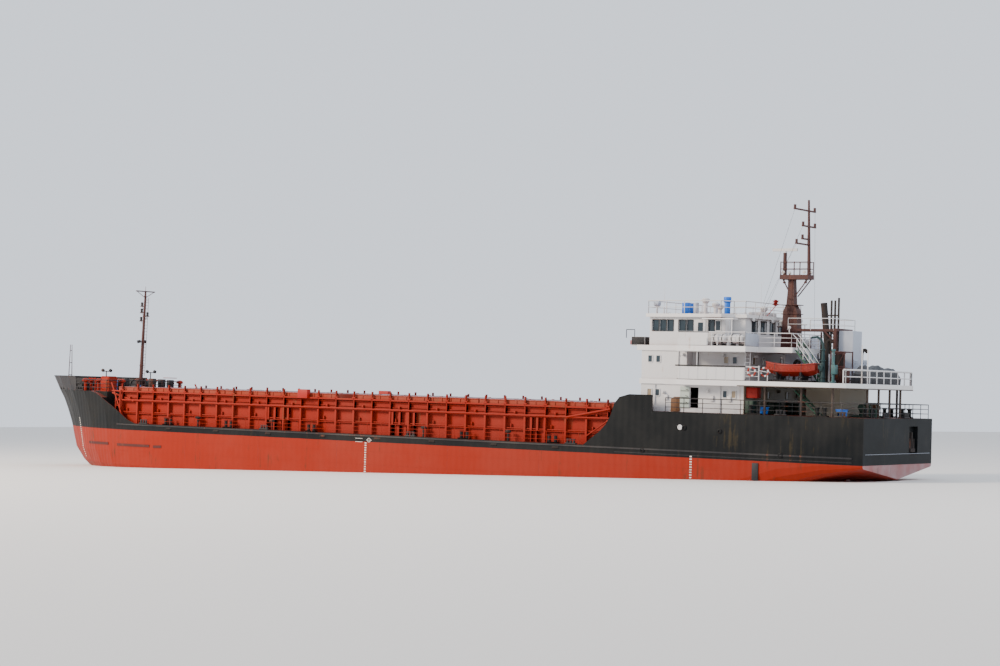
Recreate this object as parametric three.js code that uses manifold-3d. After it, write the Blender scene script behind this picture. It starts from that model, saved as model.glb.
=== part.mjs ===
// River-sea general cargo vessel, a scale model at 1:10.
// X points to the bow, Y to port and Z up, in millimetres.
// Z = 0 is the flat of the keel and X = 0 is mid-length.
import * as THREE from "three";
import { mergeVertices } from "three/addons/utils/BufferGeometryUtils.js";
import Module from "manifold-3d";

const wasm = await Module();
wasm.setup();

// Driving sizes: one metre of the real ship is M millimetres of the model.
const M = 100;
const GAP = 0.3; // between pieces that touch
const HALF = 6.7 * M; // half the beam
const TRANSOM_X = -44.75 * M;
const MAIN_DECK = 5.0 * M;
const POOP_DECK = 7.85 * M; // the forecastle deck is as high
const BOAT_DECK = 10.35 * M; // the decks of the superstructure, at their tops
const BRIDGE_DECK = 12.95 * M;
const ROOF = 15.41 * M;
const DECK_EDGE = 0.4 * M; // a deck with its fascia
const PLATE = 0.06 * M; // bulwarks and side plates
const WALL = 0.1 * M; // walls of the deckhouses
const COAMING_TOP = 7.9 * M;
const ROOF_THICK = 0.26 * M;

const paint = (color, roughness = 0.6, metalness = 0.1) =>
  new THREE.MeshStandardMaterial({ color, roughness, metalness });
const BLACK = paint(0x2b2f30);
const RED = paint(0xb5483f);
const ORANGE = paint(0xd8431a);
const WHITE = paint(0xe9e9ec);
const COVER = paint(0x9a96a2);
const BROWN = paint(0x6b2b24);
const GREEN = paint(0x1f6b4a);
const TEAL = paint(0x1d4a4c);
const GREY = paint(0xaab0bd);
const SOOT = paint(0x2a2422, 0.8);
const TARP = paint(0x3a3b3f, 0.9, 0);
const GLASS = paint(0x1c2a30, 0.1, 0);
const BRONZE = paint(0xa5843f, 0.35, 0.8);

const ship = new THREE.Group();

// A closed geometry as a solid that can be joined and cut.
function solid(geometry) {
  const source = geometry.index ? geometry.toNonIndexed() : geometry;
  const bare = new THREE.BufferGeometry();
  bare.setAttribute("position", source.getAttribute("position"));
  const merged = mergeVertices(bare, 1e-3);
  return new wasm.Manifold(
    new wasm.Mesh({
      numProp: 3,
      vertProperties: merged.attributes.position.array,
      triVerts: new Uint32Array(merged.index.array),
    }),
  );
}

const join = (...parts) => parts.flat(Infinity).reduce((a, b) => a.add(b));
const cut = (whole, ...parts) => parts.flat(Infinity).reduce((a, b) => a.subtract(b), whole);
const both = (make) => [make(1), make(-1)];

// A named sub-part, placed by the group that holds it.
function piece(name, shape, material, parent = ship) {
  const made = shape.getMesh();
  const geometry = new THREE.BufferGeometry();
  geometry.setAttribute("position", new THREE.BufferAttribute(made.vertProperties, 3));
  geometry.setIndex(new THREE.BufferAttribute(made.triVerts, 1));
  geometry.computeVertexNormals();
  const mesh = new THREE.Mesh(geometry, material);
  mesh.name = name;
  parent.add(mesh);
}

function place(x, y, z, parent = ship) {
  const group = new THREE.Group();
  group.position.set(x, y, z);
  parent.add(group);
  return group;
}

const middle = ([a, b]) => (a + b) / 2;
const size = ([a, b]) => Math.abs(b - a);

// A box from its ranges in X, Y and Z.
function box(x, y, z) {
  const geometry = new THREE.BoxGeometry(size(x), size(y), size(z));
  return solid(geometry.translate(middle(x), middle(y), middle(z)));
}

const shapeOf = (points) => new THREE.Shape(points.map(([a, b]) => new THREE.Vector2(a, b)));
const raised = (points, depth) =>
  new THREE.ExtrudeGeometry(shapeOf(points), { depth, bevelEnabled: false });

// An outline in X and Y raised between two heights.
const plan = (points, z0, z1) => solid(raised(points, z1 - z0).translate(0, 0, z0));

// An outline in X and Z carried across from y0 to y1.
const profile = (points, y0, y1) =>
  solid(raised(points, y1 - y0).rotateX(Math.PI / 2).translate(0, y1, 0));

// An outline in Y and Z carried along from x0 to x1.
function section(points, x0, x1) {
  const turn = new THREE.Matrix4().makeBasis(
    new THREE.Vector3(0, 1, 0),
    new THREE.Vector3(0, 0, 1),
    new THREE.Vector3(1, 0, 0),
  );
  return solid(raised(points, x1 - x0).applyMatrix4(turn).translate(x0, 0, 0));
}

// A round bar between two points, tapered if endRadius is given; four sides make a square bar.
function rod(from, to, radius, sides = 8, endRadius = radius) {
  const start = new THREE.Vector3(...from);
  const along = new THREE.Vector3(...to).sub(start);
  const geometry = new THREE.CylinderGeometry(endRadius, radius, along.length(), sides);
  geometry.rotateY(Math.PI / sides).translate(0, along.length() / 2, 0);
  const up = new THREE.Vector3(0, 1, 0);
  geometry.applyQuaternion(new THREE.Quaternion().setFromUnitVectors(up, along.normalize()));
  return solid(geometry.translate(...start));
}

// A body through rings of equal count, each ring turning right-handed about the way they follow.
function loft(rings) {
  const count = rings[0].length;
  const faces = [];
  for (let k = 0; k + 1 < rings.length; k++)
    for (let j = 0; j < count; j++) {
      const here = k * count + j;
      const next = k * count + ((j + 1) % count);
      faces.push(here, next, next + count, here, next + count, here + count);
    }
  const last = (rings.length - 1) * count;
  for (let j = 1; j + 1 < count; j++) {
    faces.push(0, j + 1, j);
    faces.push(last, last + j, last + j + 1);
  }
  const geometry = new THREE.BufferGeometry();
  geometry.setAttribute("position", new THREE.Float32BufferAttribute(rings.flat(2), 3));
  geometry.setIndex(faces);
  return solid(geometry);
}

// A railing along a route of [x, y] corners on a deck at height z.
function railing(route, z, { height = 1.05 * M, bars = 2, step = 2.2 * M } = {}) {
  const post = 0.03 * M; // half the width of a stanchion
  const bar = 0.03 * M;
  const parts = [];
  for (let i = 0; i + 1 < route.length; i++) {
    const [a, b] = [route[i], route[i + 1]];
    const posts = Math.max(1, Math.round(Math.hypot(b[0] - a[0], b[1] - a[1]) / step));
    for (let k = i ? 1 : 0; k <= posts; k++) {
      const x = a[0] + ((b[0] - a[0]) * k) / posts;
      const y = a[1] + ((b[1] - a[1]) * k) / posts;
      parts.push(box([x - post, x + post], [y - post, y + post], [z, z + height + 1]));
    }
    for (let k = 1; k <= bars; k++) {
      const level = z + (height * k) / bars - bar;
      parts.push(rod([...a, level], [...b, level], bar, 4));
    }
  }
  return join(parts);
}

// A route that runs up one side, round the end and back down the other side.
const mirrored = (route) => [...route, ...route.toReversed().map(([x, y]) => [x, -y])];

// The hull.
const BILGE = 1.2 * M;
const BILGE_STEPS = 4;
const ENTRANCE_X = 25 * M; // forward of here the hull narrows to the stem
const FORE_SPLIT = 30.2 * M; // the joints between the three lengths of the hull
const AFT_SPLIT = -24 * M;
const FORECASTLE_X = 32.4 * M; // aft edge of the forecastle deck
const bilgeAngle = (i) => (i * Math.PI) / 2 / BILGE_STEPS;
const bilgeHeight = (i) => BILGE * (1 - Math.cos(bilgeAngle(i)));
const bilgeInset = (z) => (z >= BILGE ? 0 : BILGE - Math.sqrt(BILGE ** 2 - (BILGE - z) ** 2));

// The stem's profile: height and X, in metres.
const STEM = [
  [0, 37.4],
  [0.35, 38.6],
  [0.74, 39.6],
  [1.2, 40.3],
  [2.4, 41.4],
  [3.4, 41.72],
  [4.4, 42.0],
  [5.0, 42.22],
  [6.0, 42.68],
  [7.18, 43.3],
  [7.85, 43.85],
  [9.14, 44.718],
];

function stemX(z) {
  const row = STEM.findIndex(([height], i) => i > 0 && z <= height * M + 1);
  const [[z0, x0], [z1, x1]] = [STEM[row - 1], STEM[row]];
  return (x0 + ((x1 - x0) * (z / M - z0)) / (z1 - z0)) * M;
}

// One waterline of the bow, from starboard round the stem to port.
function bowRing(z, inset, top = z) {
  const columns = 8;
  const full = Math.min(1, z / POOP_DECK);
  const ring = [];
  for (let i = -columns; i <= columns; i++) {
    const t = 1 - (Math.abs(i) / columns) ** 1.7;
    const x = ENTRANCE_X + (stemX(z) - 1.6 * inset - ENTRANCE_X) * t;
    const width = (1 - t ** (1.8 + 0.5 * full)) ** (0.87 - 0.05 * full);
    const y = i === 0 ? 0 : Math.sign(i) * ((HALF - bilgeInset(z)) * width - inset);
    ring.push([x, y, top]);
  }
  return ring;
}

function bow(heights, inset = 0) {
  return loft(heights.map((z) => bowRing(z, inset)));
}

// The run aft: stations with X, keel height, height of the bilge's foot, bilge radius and half-breadth.
const RUN = [
  [-44.75, 3.3, 4.15, 0.2, 6.3],
  [-41.5, 2.75, 3.4, 0.9, 6.5],
  [-38, 1.75, 2.3, 1.6, 6.65],
  [-34.5, 0.75, 1.05, 1.8, 6.7],
  [-31, 0.15, 0.25, 1.5, 6.7],
  [-27, 0, 0, 1.2, 6.7],
  [25, 0, 0, 1.2, 6.7],
];

function stationRing([x, keel, foot, radius, half], top) {
  const side = [];
  for (let i = 0; i <= BILGE_STEPS; i++) {
    const angle = bilgeAngle(i);
    side.push([half - radius + radius * Math.sin(angle), foot + radius * (1 - Math.cos(angle))]);
  }
  const port = side.map(([y, z]) => [x * M, y * M, z * M]);
  const starboard = port.map(([px, y, z]) => [px, -y, z]).reverse();
  const deck = [
    [x * M, half * M, top],
    [x * M, -half * M, top],
  ];
  return [...deck, ...starboard, [x * M, 0, keel * M], ...port];
}

const bowHeights = [];
for (let i = 0; i <= BILGE_STEPS; i++) bowHeights.push(bilgeHeight(i));
bowHeights.push(2.4 * M, 3.4 * M, 4.4 * M, MAIN_DECK, 6.0 * M, 7.0 * M, POOP_DECK);

const afterHull = loft(RUN.map((row) => stationRing(row, POOP_DECK)));
const wholeHull = afterHull.add(bow(bowHeights));
const WIDE = [-8 * M, 8 * M];

// Cargo holds between the wing tanks: X at the after and the fore end.
const TANK_TOP = 1.0 * M;
const HOLD_HALF = 5.1 * M;
const HOLDS = [
  [-22.9 * M, 2.8 * M],
  [4.4 * M, 29.6 * M],
];

// Mooring bitts: two posts with wide heads on a common foot, along the ship.
const BITTS = { apart: 0.3, post: 0.14, head: 0.19, high: 0.68 };

function bitts(x, y, deck) {
  const span = (centre, half) => [(centre - half) * M, (centre + half) * M];
  const foot = box(span(x, 0.55), span(y, 0.2), [deck - 5, deck + 0.1 * M]);
  const posts = both((s) => {
    const along = (x + s * BITTS.apart) * M;
    const top = deck + BITTS.high * M;
    return [
      rod([along, y * M, deck], [along, y * M, top - 5], BITTS.post * M, 8),
      rod([along, y * M, top - 8], [along, y * M, top], BITTS.head * M, 8),
    ];
  });
  return join(foot, posts);
}

// Where the bitts stand: X in metres on the main deck, and X and Y on the poop and the forecastle.
const SIDE_DECK_BITTS = [-17.8, -9.2, 7.0, 16.5, 23.8];
const SIDE_DECK_BITTS_Y = 6.02;
const POOP_BITTS = [
  [-35.8, 6.1],
  [-41.2, 6.0],
  [-43.8, 3.4],
];
const FORECASTLE_BITTS = [
  [36.2, 4.3],
  [40.6, 1.9],
];
const pairs = (rows, deck) => both((s) => rows.map(([x, y]) => bitts(x, s * y, deck)));

function hullMidBody() {
  const length = [AFT_SPLIT + GAP / 2, FORE_SPLIT - GAP / 2];
  const body = wholeHull.intersect(box(length, WIDE, [-1, MAIN_DECK]));
  const hold = (range) => box(range, [-HOLD_HALF, HOLD_HALF], [TANK_TOP, POOP_DECK]);
  const gear = pairs(SIDE_DECK_BITTS.map((x) => [x, SIDE_DECK_BITTS_Y]), MAIN_DECK);
  return join(cut(body, HOLDS.map(hold)), gear);
}

// The side plating sweeps up from the main deck to the forecastle: X and height.
const SWEEP = [
  [27.4, 5.0],
  [28.4, 5.32],
  [30.4, 6.35],
  [32.5, 7.35],
  [33.4, 7.7],
  [34.2, 7.85],
];

function hullForeBody() {
  const lower = wholeHull.intersect(box([FORE_SPLIT + GAP / 2, 46 * M], WIDE, [-1, POOP_DECK]));
  const wings = wholeHull.intersect(
    box([27.4 * M, 34.4 * M], WIDE, [MAIN_DECK + GAP, POOP_DECK]),
  );
  const inside = bow([MAIN_DECK - 10, 6.0 * M, 7.0 * M, POOP_DECK + 5], PLATE);
  const well = inside.intersect(box([26 * M, FORECASTLE_X], WIDE, [MAIN_DECK, POOP_DECK + 5]));
  const above = [...SWEEP.map(([x, z]) => [x * M, z * M]), [34.2 * M, 9 * M], [27 * M, 9 * M]];
  const shoulders = both((s) => profile(above, ...(s > 0 ? [5.2 * M, 8 * M] : [-8 * M, -5.2 * M])));
  return join(cut(join(lower, wings), well, shoulders), pairs(FORECASTLE_BITTS, POOP_DECK));
}

const SHAFT_Y = 3.0 * M;
const SHAFT_Z = 1.2 * M;
const BOSS_END_X = -38.9 * M;
const RUDDER_X = -42.0 * M;
const TRUNK_END_Z = 2.7 * M;
const POCKET_Y = [-3.55 * M, -1.95 * M]; // recess of the stern anchor
const POCKET_Z = [5.15 * M, 7.25 * M];
const POCKET_DEPTH = 0.34 * M;

// The high black bulwark that sweeps up from the main deck abreast of the deckhouse: X and height.
const FASHION_PLATE = [
  [-21.1, 5.003],
  [-21.74, 5.5],
  [-22.5, 6.05],
  [-23.2, 6.75],
  [-23.6, 7.5],
  [-23.85, 8.3],
  [-24.3, 8.85],
  [-25.2, 9.1],
  [-27.3, 9.1],
  [-27.3, 5.003],
];

function hullAftBody() {
  const body = wholeHull.intersect(box([-46 * M, AFT_SPLIT - GAP / 2], WIDE, [-1, POOP_DECK]));
  const bossing = both((s) => [
    rod([-33.5 * M, s * SHAFT_Y, SHAFT_Z], [BOSS_END_X, s * SHAFT_Y, SHAFT_Z], 0.36 * M, 12, 0.2 * M),
    box([-38.4 * M, -33.5 * M], [s * SHAFT_Y - 8, s * SHAFT_Y + 8], [SHAFT_Z, 2.4 * M]),
  ]);
  const trunk = both((s) =>
    rod([RUDDER_X, s * SHAFT_Y, TRUNK_END_Z], [RUDDER_X, s * SHAFT_Y, 3.6 * M], 0.25 * M, 12),
  );
  const outline = FASHION_PLATE.map(([x, z]) => [x * M, z * M]);
  const plates = [profile(outline, HALF - PLATE, HALF), profile(outline, -HALF, PLATE - HALF)];
  const pocket = box([TRANSOM_X - 10, TRANSOM_X + POCKET_DEPTH], POCKET_Y, POCKET_Z);
  return cut(join(body, bossing, trunk, plates, pairs(POOP_BITTS, POOP_DECK)), pocket);
}

piece("hull_mid_body", hullMidBody(), BLACK);
piece("hull_fore_body", hullForeBody(), BLACK);
piece("hull_aft_body", hullAftBody(), BLACK);

// Propellers and rudders, port then starboard.
const PROPELLER_X = -39.6 * M;
const PROPELLER_R = 0.95 * M;
const BLADE_PITCH = 0.6; // radians

function propeller(hand) {
  const blades = [];
  for (let i = 0; i < 4; i++) {
    const outline = new THREE.Shape();
    outline.absellipse(0.56 * PROPELLER_R, 0, 0.44 * PROPELLER_R, 0.24 * PROPELLER_R, 0, 2 * Math.PI);
    const blade = new THREE.ExtrudeGeometry(outline, {
      depth: 6,
      bevelEnabled: false,
      curveSegments: 6,
    });
    blade.translate(0, 0, -3);
    blade.rotateY(Math.PI / 2).rotateZ(hand * BLADE_PITCH);
    blade.rotateX((i * Math.PI) / 2);
    blades.push(solid(blade));
  }
  const hub = rod([-0.22 * M, 0, 0], [0.2 * M, 0, 0], 0.12 * M, 12, 0.18 * M);
  const shaft = rod([0.15 * M, 0, 0], [BOSS_END_X - GAP - PROPELLER_X, 0, 0], 0.09 * M, 12);
  return join(blades, hub, shaft);
}

const RUDDER_Z = [0.35 * M, 2.5 * M];

function rudder() {
  const chord = [
    [0.45, 0],
    [0.35, 0.09],
    [0.1, 0.14],
    [-0.5, 0.1],
    [-1.25, 0.02],
  ];
  const foil = [...chord, ...chord.slice(1).toReversed().map(([x, y]) => [x, -y])];
  const blade = plan(foil.map(([x, y]) => [x * M, y * M]), ...RUDDER_Z);
  const stock = rod([0, 0, RUDDER_Z[0] + 20], [0, 0, TRUNK_END_Z - GAP], 0.1 * M, 12);
  return blade.add(stock);
}

for (const [side, s] of [["port", 1], ["starboard", -1]]) {
  piece("propeller_" + side, propeller(s), BRONZE, place(PROPELLER_X, s * SHAFT_Y, SHAFT_Z));
  piece("rudder_" + side, rudder(), RED, place(RUDDER_X, s * SHAFT_Y, 0));
}

// Forecastle: bulwark round the bow, open rails, locker, windlass, anchors and masts.
const BULWARK_X = 37 * M;
const BULWARK_TOP = 9.14 * M;

function forecastleBulwark() {
  const levels = [POOP_DECK, BULWARK_TOP];
  const rings = levels.map((z, i) => bowRing(z, 0, i ? z : z + GAP));
  const inner = levels.map((z, i) => bowRing(z, PLATE, i ? z + 5 : z - 5));
  const wall = loft(rings).subtract(loft(inner));
  const capOuter = bowRing(BULWARK_TOP, -2, BULWARK_TOP);
  const capOuterTop = bowRing(BULWARK_TOP, -2, BULWARK_TOP + 6);
  const capInner = bowRing(BULWARK_TOP, 14, BULWARK_TOP - 5);
  const capInnerTop = bowRing(BULWARK_TOP, 14, BULWARK_TOP + 11);
  const cap = loft([capOuter, capOuterTop]).subtract(loft([capInner, capInnerTop]));
  return join(wall, cap).intersect(box([BULWARK_X, 46 * M], WIDE, [POOP_DECK, 10 * M]));
}

function windlassFrame() {
  const base = box([-0.7 * M, 0.7 * M], [-1.5 * M, 1.5 * M], [0, 0.15 * M]);
  const cheek = (y) =>
    profile(
      [[-0.5 * M, 10], [0.5 * M, 10], [0.2 * M, 0.95 * M], [-0.2 * M, 0.95 * M]],
      y - 5,
      y + 5,
    );
  const motor = box([-0.65 * M, 0.65 * M], [-0.3 * M, 0.3 * M], [10, 0.6 * M]);
  return cut(join(base, motor, cheek(-0.75 * M), cheek(0.75 * M)), barrelHole());
}

const WINCH_AXIS_Z = 0.75 * M;
const AXLE_R = 0.09 * M;
const barrelHole = () => rod([0, -2 * M, WINCH_AXIS_Z], [0, 2 * M, WINCH_AXIS_Z], AXLE_R + 0.5, 12);

// The turning part of a windlass or winch: axle, two chain lifters and two warping heads.
function winchBarrel() {
  const axle = rod([0, -1.45 * M, 0], [0, 1.45 * M, 0], AXLE_R, 12);
  const wheels = both((s) => [
    rod([0, s * 0.45 * M, 0], [0, s * 0.65 * M, 0], 0.36 * M, 14),
    rod([0, s * 0.9 * M, 0], [0, s * 1.0 * M, 0], 0.3 * M, 14),
    rod([0, s * 0.98 * M, 0], [0, s * 1.36 * M, 0], 0.17 * M, 14),
    rod([0, s * 1.34 * M, 0], [0, s * 1.44 * M, 0], 0.28 * M, 14),
  ]);
  return join(axle, wheels);
}

// A stockless anchor with its shank along +Z from the crown.
function anchor() {
  const shank = box([-0.08 * M, 0.08 * M], [-0.08 * M, 0.08 * M], [0, 1.35 * M]);
  const crown = box([-0.16 * M, 0.16 * M], [-0.42 * M, 0.42 * M], [-0.14 * M, 0.14 * M]);
  const fluke = both((s) =>
    section([[s * 0.2, 0], [s * 0.5, 0], [s * 0.44, 0.85], [s * 0.34, 0.9]].map(([y, z]) => [y * M, z * M]),
      -0.07 * M, 0.07 * M),
  );
  return join(shank, crown, fluke);
}

const FORE_MAST_X = 33.2 * M;
const FORE_MAST_PIVOT = 8.9 * M;

function foremastTabernacle() {
  const base = box([-0.5 * M, 0.5 * M], [-0.6 * M, 0.6 * M], [0, 0.4 * M]);
  const cheeks = both((s) =>
    profile([[-0.28 * M, 10], [0.28 * M, 10], [0.2 * M, 1.3 * M], [-0.2 * M, 1.3 * M]],
      ...(s > 0 ? [0.32 * M, 0.42 * M] : [-0.42 * M, -0.32 * M])),
  );
  const pivot = FORE_MAST_PIVOT - POOP_DECK - GAP;
  const hole = rod([0, -M, pivot], [0, M, pivot], 0.08 * M + 0.5, 12);
  return cut(join(base, cheeks), hole);
}

// The folding mast about its pivot: tapered tube with a yard, lamp brackets and the pin.
function foremast() {
  const top = [-0.37 * M, 0, 7.86 * M];
  const tube = rod([0, 0, -0.42 * M], top, 0.2 * M, 12, 0.1 * M);
  const yard = box([-0.42 * M, -0.3 * M], [-1.2 * M, 1.2 * M], [7.62 * M, 7.7 * M]);
  const shelf = box([-0.4 * M, 0.3 * M], [-0.16 * M, 0.16 * M], [5.0 * M, 5.08 * M]);
  const pin = rod([0, -0.5 * M, 0], [0, 0.5 * M, 0], 0.08 * M, 12);
  return join(tube, yard, shelf, pin);
}

function bowLightMast() {
  const foot = box([-0.2 * M, 0.2 * M], [-0.35 * M, 0.35 * M], [0, 0.08 * M]);
  const poles = both((s) => rod([0, s * 0.25 * M, 0], [0, s * 0.1 * M, 4.4 * M], 0.05 * M, 8, 0.03 * M));
  const steps = [1.4, 2.6, 3.8].map((z) =>
    box([-3, 3], [(-0.25 + 0.034 * z) * M, (0.25 - 0.034 * z) * M], [z * M, (z + 0.06) * M]),
  );
  return join(foot, poles, steps);
}

const forecastle = place(0, 0, POOP_DECK + GAP);
piece("forecastle_bulwark", forecastleBulwark(), BLACK);
const forecastleRoute = mirrored([[36.9, 4.85], [35.4, 5.3], [34.4, 5.55], [32.6, 5.1]]);
piece(
  "forecastle_rails",
  railing(forecastleRoute.map(([x, y]) => [x * M, y * M]), 0),
  BLACK,
  forecastle,
);
piece("forecastle_locker", box([32.75 * M, 33.8 * M], [3.6 * M, 4.7 * M], [0, 1.35 * M]), ORANGE, forecastle);
const windlass = place(39.2 * M, 0, 0, forecastle);
piece("windlass_frame", windlassFrame(), BLACK, windlass);
piece("windlass_drum", winchBarrel(), BLACK, place(0, 0, WINCH_AXIS_Z, windlass));
piece("foremast_tabernacle", foremastTabernacle(), BROWN, place(FORE_MAST_X, 0, 0, forecastle));
piece("foremast", foremast(), BROWN, place(FORE_MAST_X, 0, FORE_MAST_PIVOT));
piece("bow_light_mast", bowLightMast(), BLACK, place(42.7 * M, 0, 0, forecastle));

const sternAnchor = place(TRANSOM_X + POCKET_DEPTH - 0.16 * M - GAP, middle(POCKET_Y), POCKET_Z[0] + 0.3 * M);
piece("stern_anchor", anchor(), SOOT, sternAnchor);

// Hatch coamings, with stays outside them, on the main deck.
const COAMING_HALF = 5.4 * M;
const COAMING_PLATE = 0.12 * M;
const HATCH_X = [
  [-23.2 * M, 2.8 * M],
  [4.4 * M, 30.6 * M],
];
const COAMING_X = [HATCH_X[0][0], HATCH_X[1][1]];
const STAY_STEP = 1.95 * M;
const STAY_DEPTH = 0.34 * M;
const STAY_TOP = 7.0 * M;
const CLOSE_BRACKETS = [9.95, 10.7, 11.45, 12.2, -1.5, -2.25, -3.0, -3.75, -15.5, -16.1]; // X in metres

function coamingSide(s) {
  const across = (inner, outer) => (s > 0 ? [inner, outer] : [-outer, -inner]);
  const plate = box(COAMING_X, across(COAMING_HALF - COAMING_PLATE, COAMING_HALF), [
    MAIN_DECK + GAP,
    COAMING_TOP,
  ]);
  const ledge = (z, out) =>
    box(COAMING_X, across(COAMING_HALF - 5, COAMING_HALF + out), [z - 0.05 * M, z]);
  const ledges = [ledge(COAMING_TOP - 1, 0.2 * M), ledge(7.05 * M, 0.32 * M), ledge(5.95 * M, 0.2 * M)];
  const stays = [];
  const count = Math.floor(size(COAMING_X) / STAY_STEP);
  const out = COAMING_HALF + STAY_DEPTH;
  for (let i = 0; i <= count; i++) {
    const x = COAMING_X[0] + 0.5 * M + i * STAY_STEP;
    const foot = across(COAMING_HALF - 5, out);
    stays.push(box([x - 3, x + 3], foot, [MAIN_DECK + GAP, COAMING_TOP - 3]));
  }
  for (const x of CLOSE_BRACKETS)
    stays.push(box([x * M - 4, x * M + 4], across(COAMING_HALF - 5, out - 8), [MAIN_DECK + 2, STAY_TOP]));
  const armY = s * (COAMING_HALF + 0.27 * M);
  const arm = rod([-18.9 * M, armY, 7.0 * M], [-22.9 * M, armY, 7.7 * M], 0.09 * M, 4);
  return join(plate, ledges, stays, arm);
}

// A bar on the stays with a lug at each for the cleats of the covers, and a control cabinet.
const CLEAT_BAR = { y: [5.62 * M, 5.76 * M], z: [COAMING_TOP - 3 + GAP, 8.0 * M] };
const LUG = { half: 0.06 * M, top: 8.62 * M };
const CABINET = { x: [7.66 * M, 8.65 * M], y: [5.62 * M, 5.95 * M], z: [7.92 * M, 8.6 * M] };

function coamingCleats(s) {
  const across = ([a, b]) => (s > 0 ? [a, b] : [-b, -a]);
  const bar = box([COAMING_X[0] + 0.3 * M, COAMING_X[1] - 0.3 * M], across(CLEAT_BAR.y), CLEAT_BAR.z);
  const lugs = [];
  for (let i = 0; i <= Math.floor(size(COAMING_X) / STAY_STEP); i++) {
    const x = COAMING_X[0] + 0.5 * M + i * STAY_STEP;
    lugs.push(box([x - LUG.half, x + LUG.half], across(CLEAT_BAR.y), [CLEAT_BAR.z[0], LUG.top]));
  }
  return join(bar, lugs, box(CABINET.x, across(CABINET.y), CABINET.z));
}

const coamingEnd = (x) =>
  box(x, [-COAMING_HALF + COAMING_PLATE + GAP, COAMING_HALF - COAMING_PLATE - GAP], [
    MAIN_DECK + GAP,
    COAMING_TOP,
  ]);

piece("coaming_port", coamingSide(1), ORANGE);
piece("coaming_starboard", coamingSide(-1), ORANGE);
piece("coaming_cleats_port", coamingCleats(1), ORANGE);
piece("coaming_cleats_starboard", coamingCleats(-1), ORANGE);
piece("coaming_aft_end", coamingEnd([COAMING_X[0], COAMING_X[0] + COAMING_PLATE]), ORANGE);
piece("coaming_middle", coamingEnd([HATCH_X[0][1], HATCH_X[1][0]]), ORANGE);
piece("coaming_fore_end", coamingEnd([COAMING_X[1] - COAMING_PLATE, COAMING_X[1]]), ORANGE);

// Folding hatch covers: from each end of a hatch an outer panel hinged to the coaming and an inner panel
// hinged to the outer one. Every hinge line lies along the bottom edges of the panels.
const COVER_BASE = COAMING_TOP + GAP;
const COVER_THICK = 0.45 * M;
const COVER_HALF = 5.5 * M;
const MID_GAP = 0.12 * M; // between the two inner panels
const HINGE_GAP = 1; // each side of the hinge between two panels
const SHORTER = 0.06 * M; // the inner panel, so that its free end lifts off as it folds

function coverPair(name, hinge, way, length) {
  const outer = (length - MID_GAP / 2 + SHORTER) / 2;
  const inner = outer - SHORTER;
  const panel = (from, to) => {
    const x = [hinge + way * from, hinge + way * to].sort((a, b) => a - b);
    const slab = box(x, [-COVER_HALF, COVER_HALF], [COVER_BASE, COVER_BASE + COVER_THICK]);
    const lip = 0.1 * M;
    const groove = box([x[0] + lip, x[1] - lip], [-COVER_HALF + lip, COVER_HALF - lip], [
      COVER_BASE - 5,
      COVER_BASE + COVER_THICK - 0.12 * M,
    ]);
    return slab.subtract(groove);
  };
  piece(name + "_outer_panel", panel(0, outer - HINGE_GAP), COVER);
  piece(name + "_inner_panel", panel(outer + HINGE_GAP, outer + inner), COVER);
}

for (const [hatch, [aft, fore]] of [["aft_hatch", HATCH_X[0]], ["fore_hatch", HATCH_X[1]]]) {
  const half = (fore - aft) / 2;
  coverPair(hatch + "_fore_end", fore, -1, half);
  coverPair(hatch + "_aft_end", aft, 1, half);
}

// Walls round a room made of overlapping rectangles: X range and half-breadth of each, in metres.
function room(rectangles, z0, z1) {
  const outer = rectangles.map(([x0, x1, half]) => box([x0 * M, x1 * M], [-half * M, half * M], [z0, z1]));
  const inner = rectangles.map(([x0, x1, half]) =>
    box([x0 * M + WALL, x1 * M - WALL], [WALL - half * M, half * M - WALL], [z0 - 5, z1 + 5]),
  );
  return cut(join(outer), inner);
}

const TIER_HALF = 5.6 * M;
const TIER_1 = [[-34.6, -25.6, 5.6]];
const TIER_2 = [[-29.6, -25.6, 5.6], [-34.1, -29.0, 4.7]];
const WHEELHOUSE = [[-32.4, -26.2, 5.5], [-34.0, -32.0, 4.5]];

// Doorways: X at the two jambs and heights of sill and lintel above the deck.
const POOP_DOOR = { x: [-30.7 * M, -29.98 * M], z: [0.35 * M, 1.9 * M] };
const WING_DOOR = { x: [-31.08 * M, -30.38 * M], z: [0.15 * M, 1.95 * M] };

function tierOne() {
  const walls = room(TIER_1, 0, BOAT_DECK - DECK_EDGE - POOP_DECK - 2 * GAP);
  const doorways = both((s) => box(POOP_DOOR.x, s > 0 ? [5.3 * M, 6 * M] : [-6 * M, -5.3 * M], POOP_DOOR.z));
  return cut(walls, doorways);
}

function tierTwo() {
  return room(TIER_2, 0, BRIDGE_DECK - DECK_EDGE - BOAT_DECK - 2 * GAP);
}

// Wheelhouse windows: X range on each side wall and Y range on the front wall.
const SIDE_WINDOWS = [[-27.0, -26.42], [-27.65, -27.07], [-28.3, -27.72], [-29.38, -28.76], [-30.03, -29.45],
  [-31.9, -31.35]];
const PANE_Z = [1.12 * M, 1.98 * M]; // above the bridge deck
const FRONT_PANES = 9;
const FRONT_PITCH = 1.16 * M;
const AFT_PANES = 5;

// A quarter-round that closes the wing behind the side windows.
const CORNER = { x: -32.45 * M, y: 4.95 * M, radius: 0.55 * M };

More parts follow.
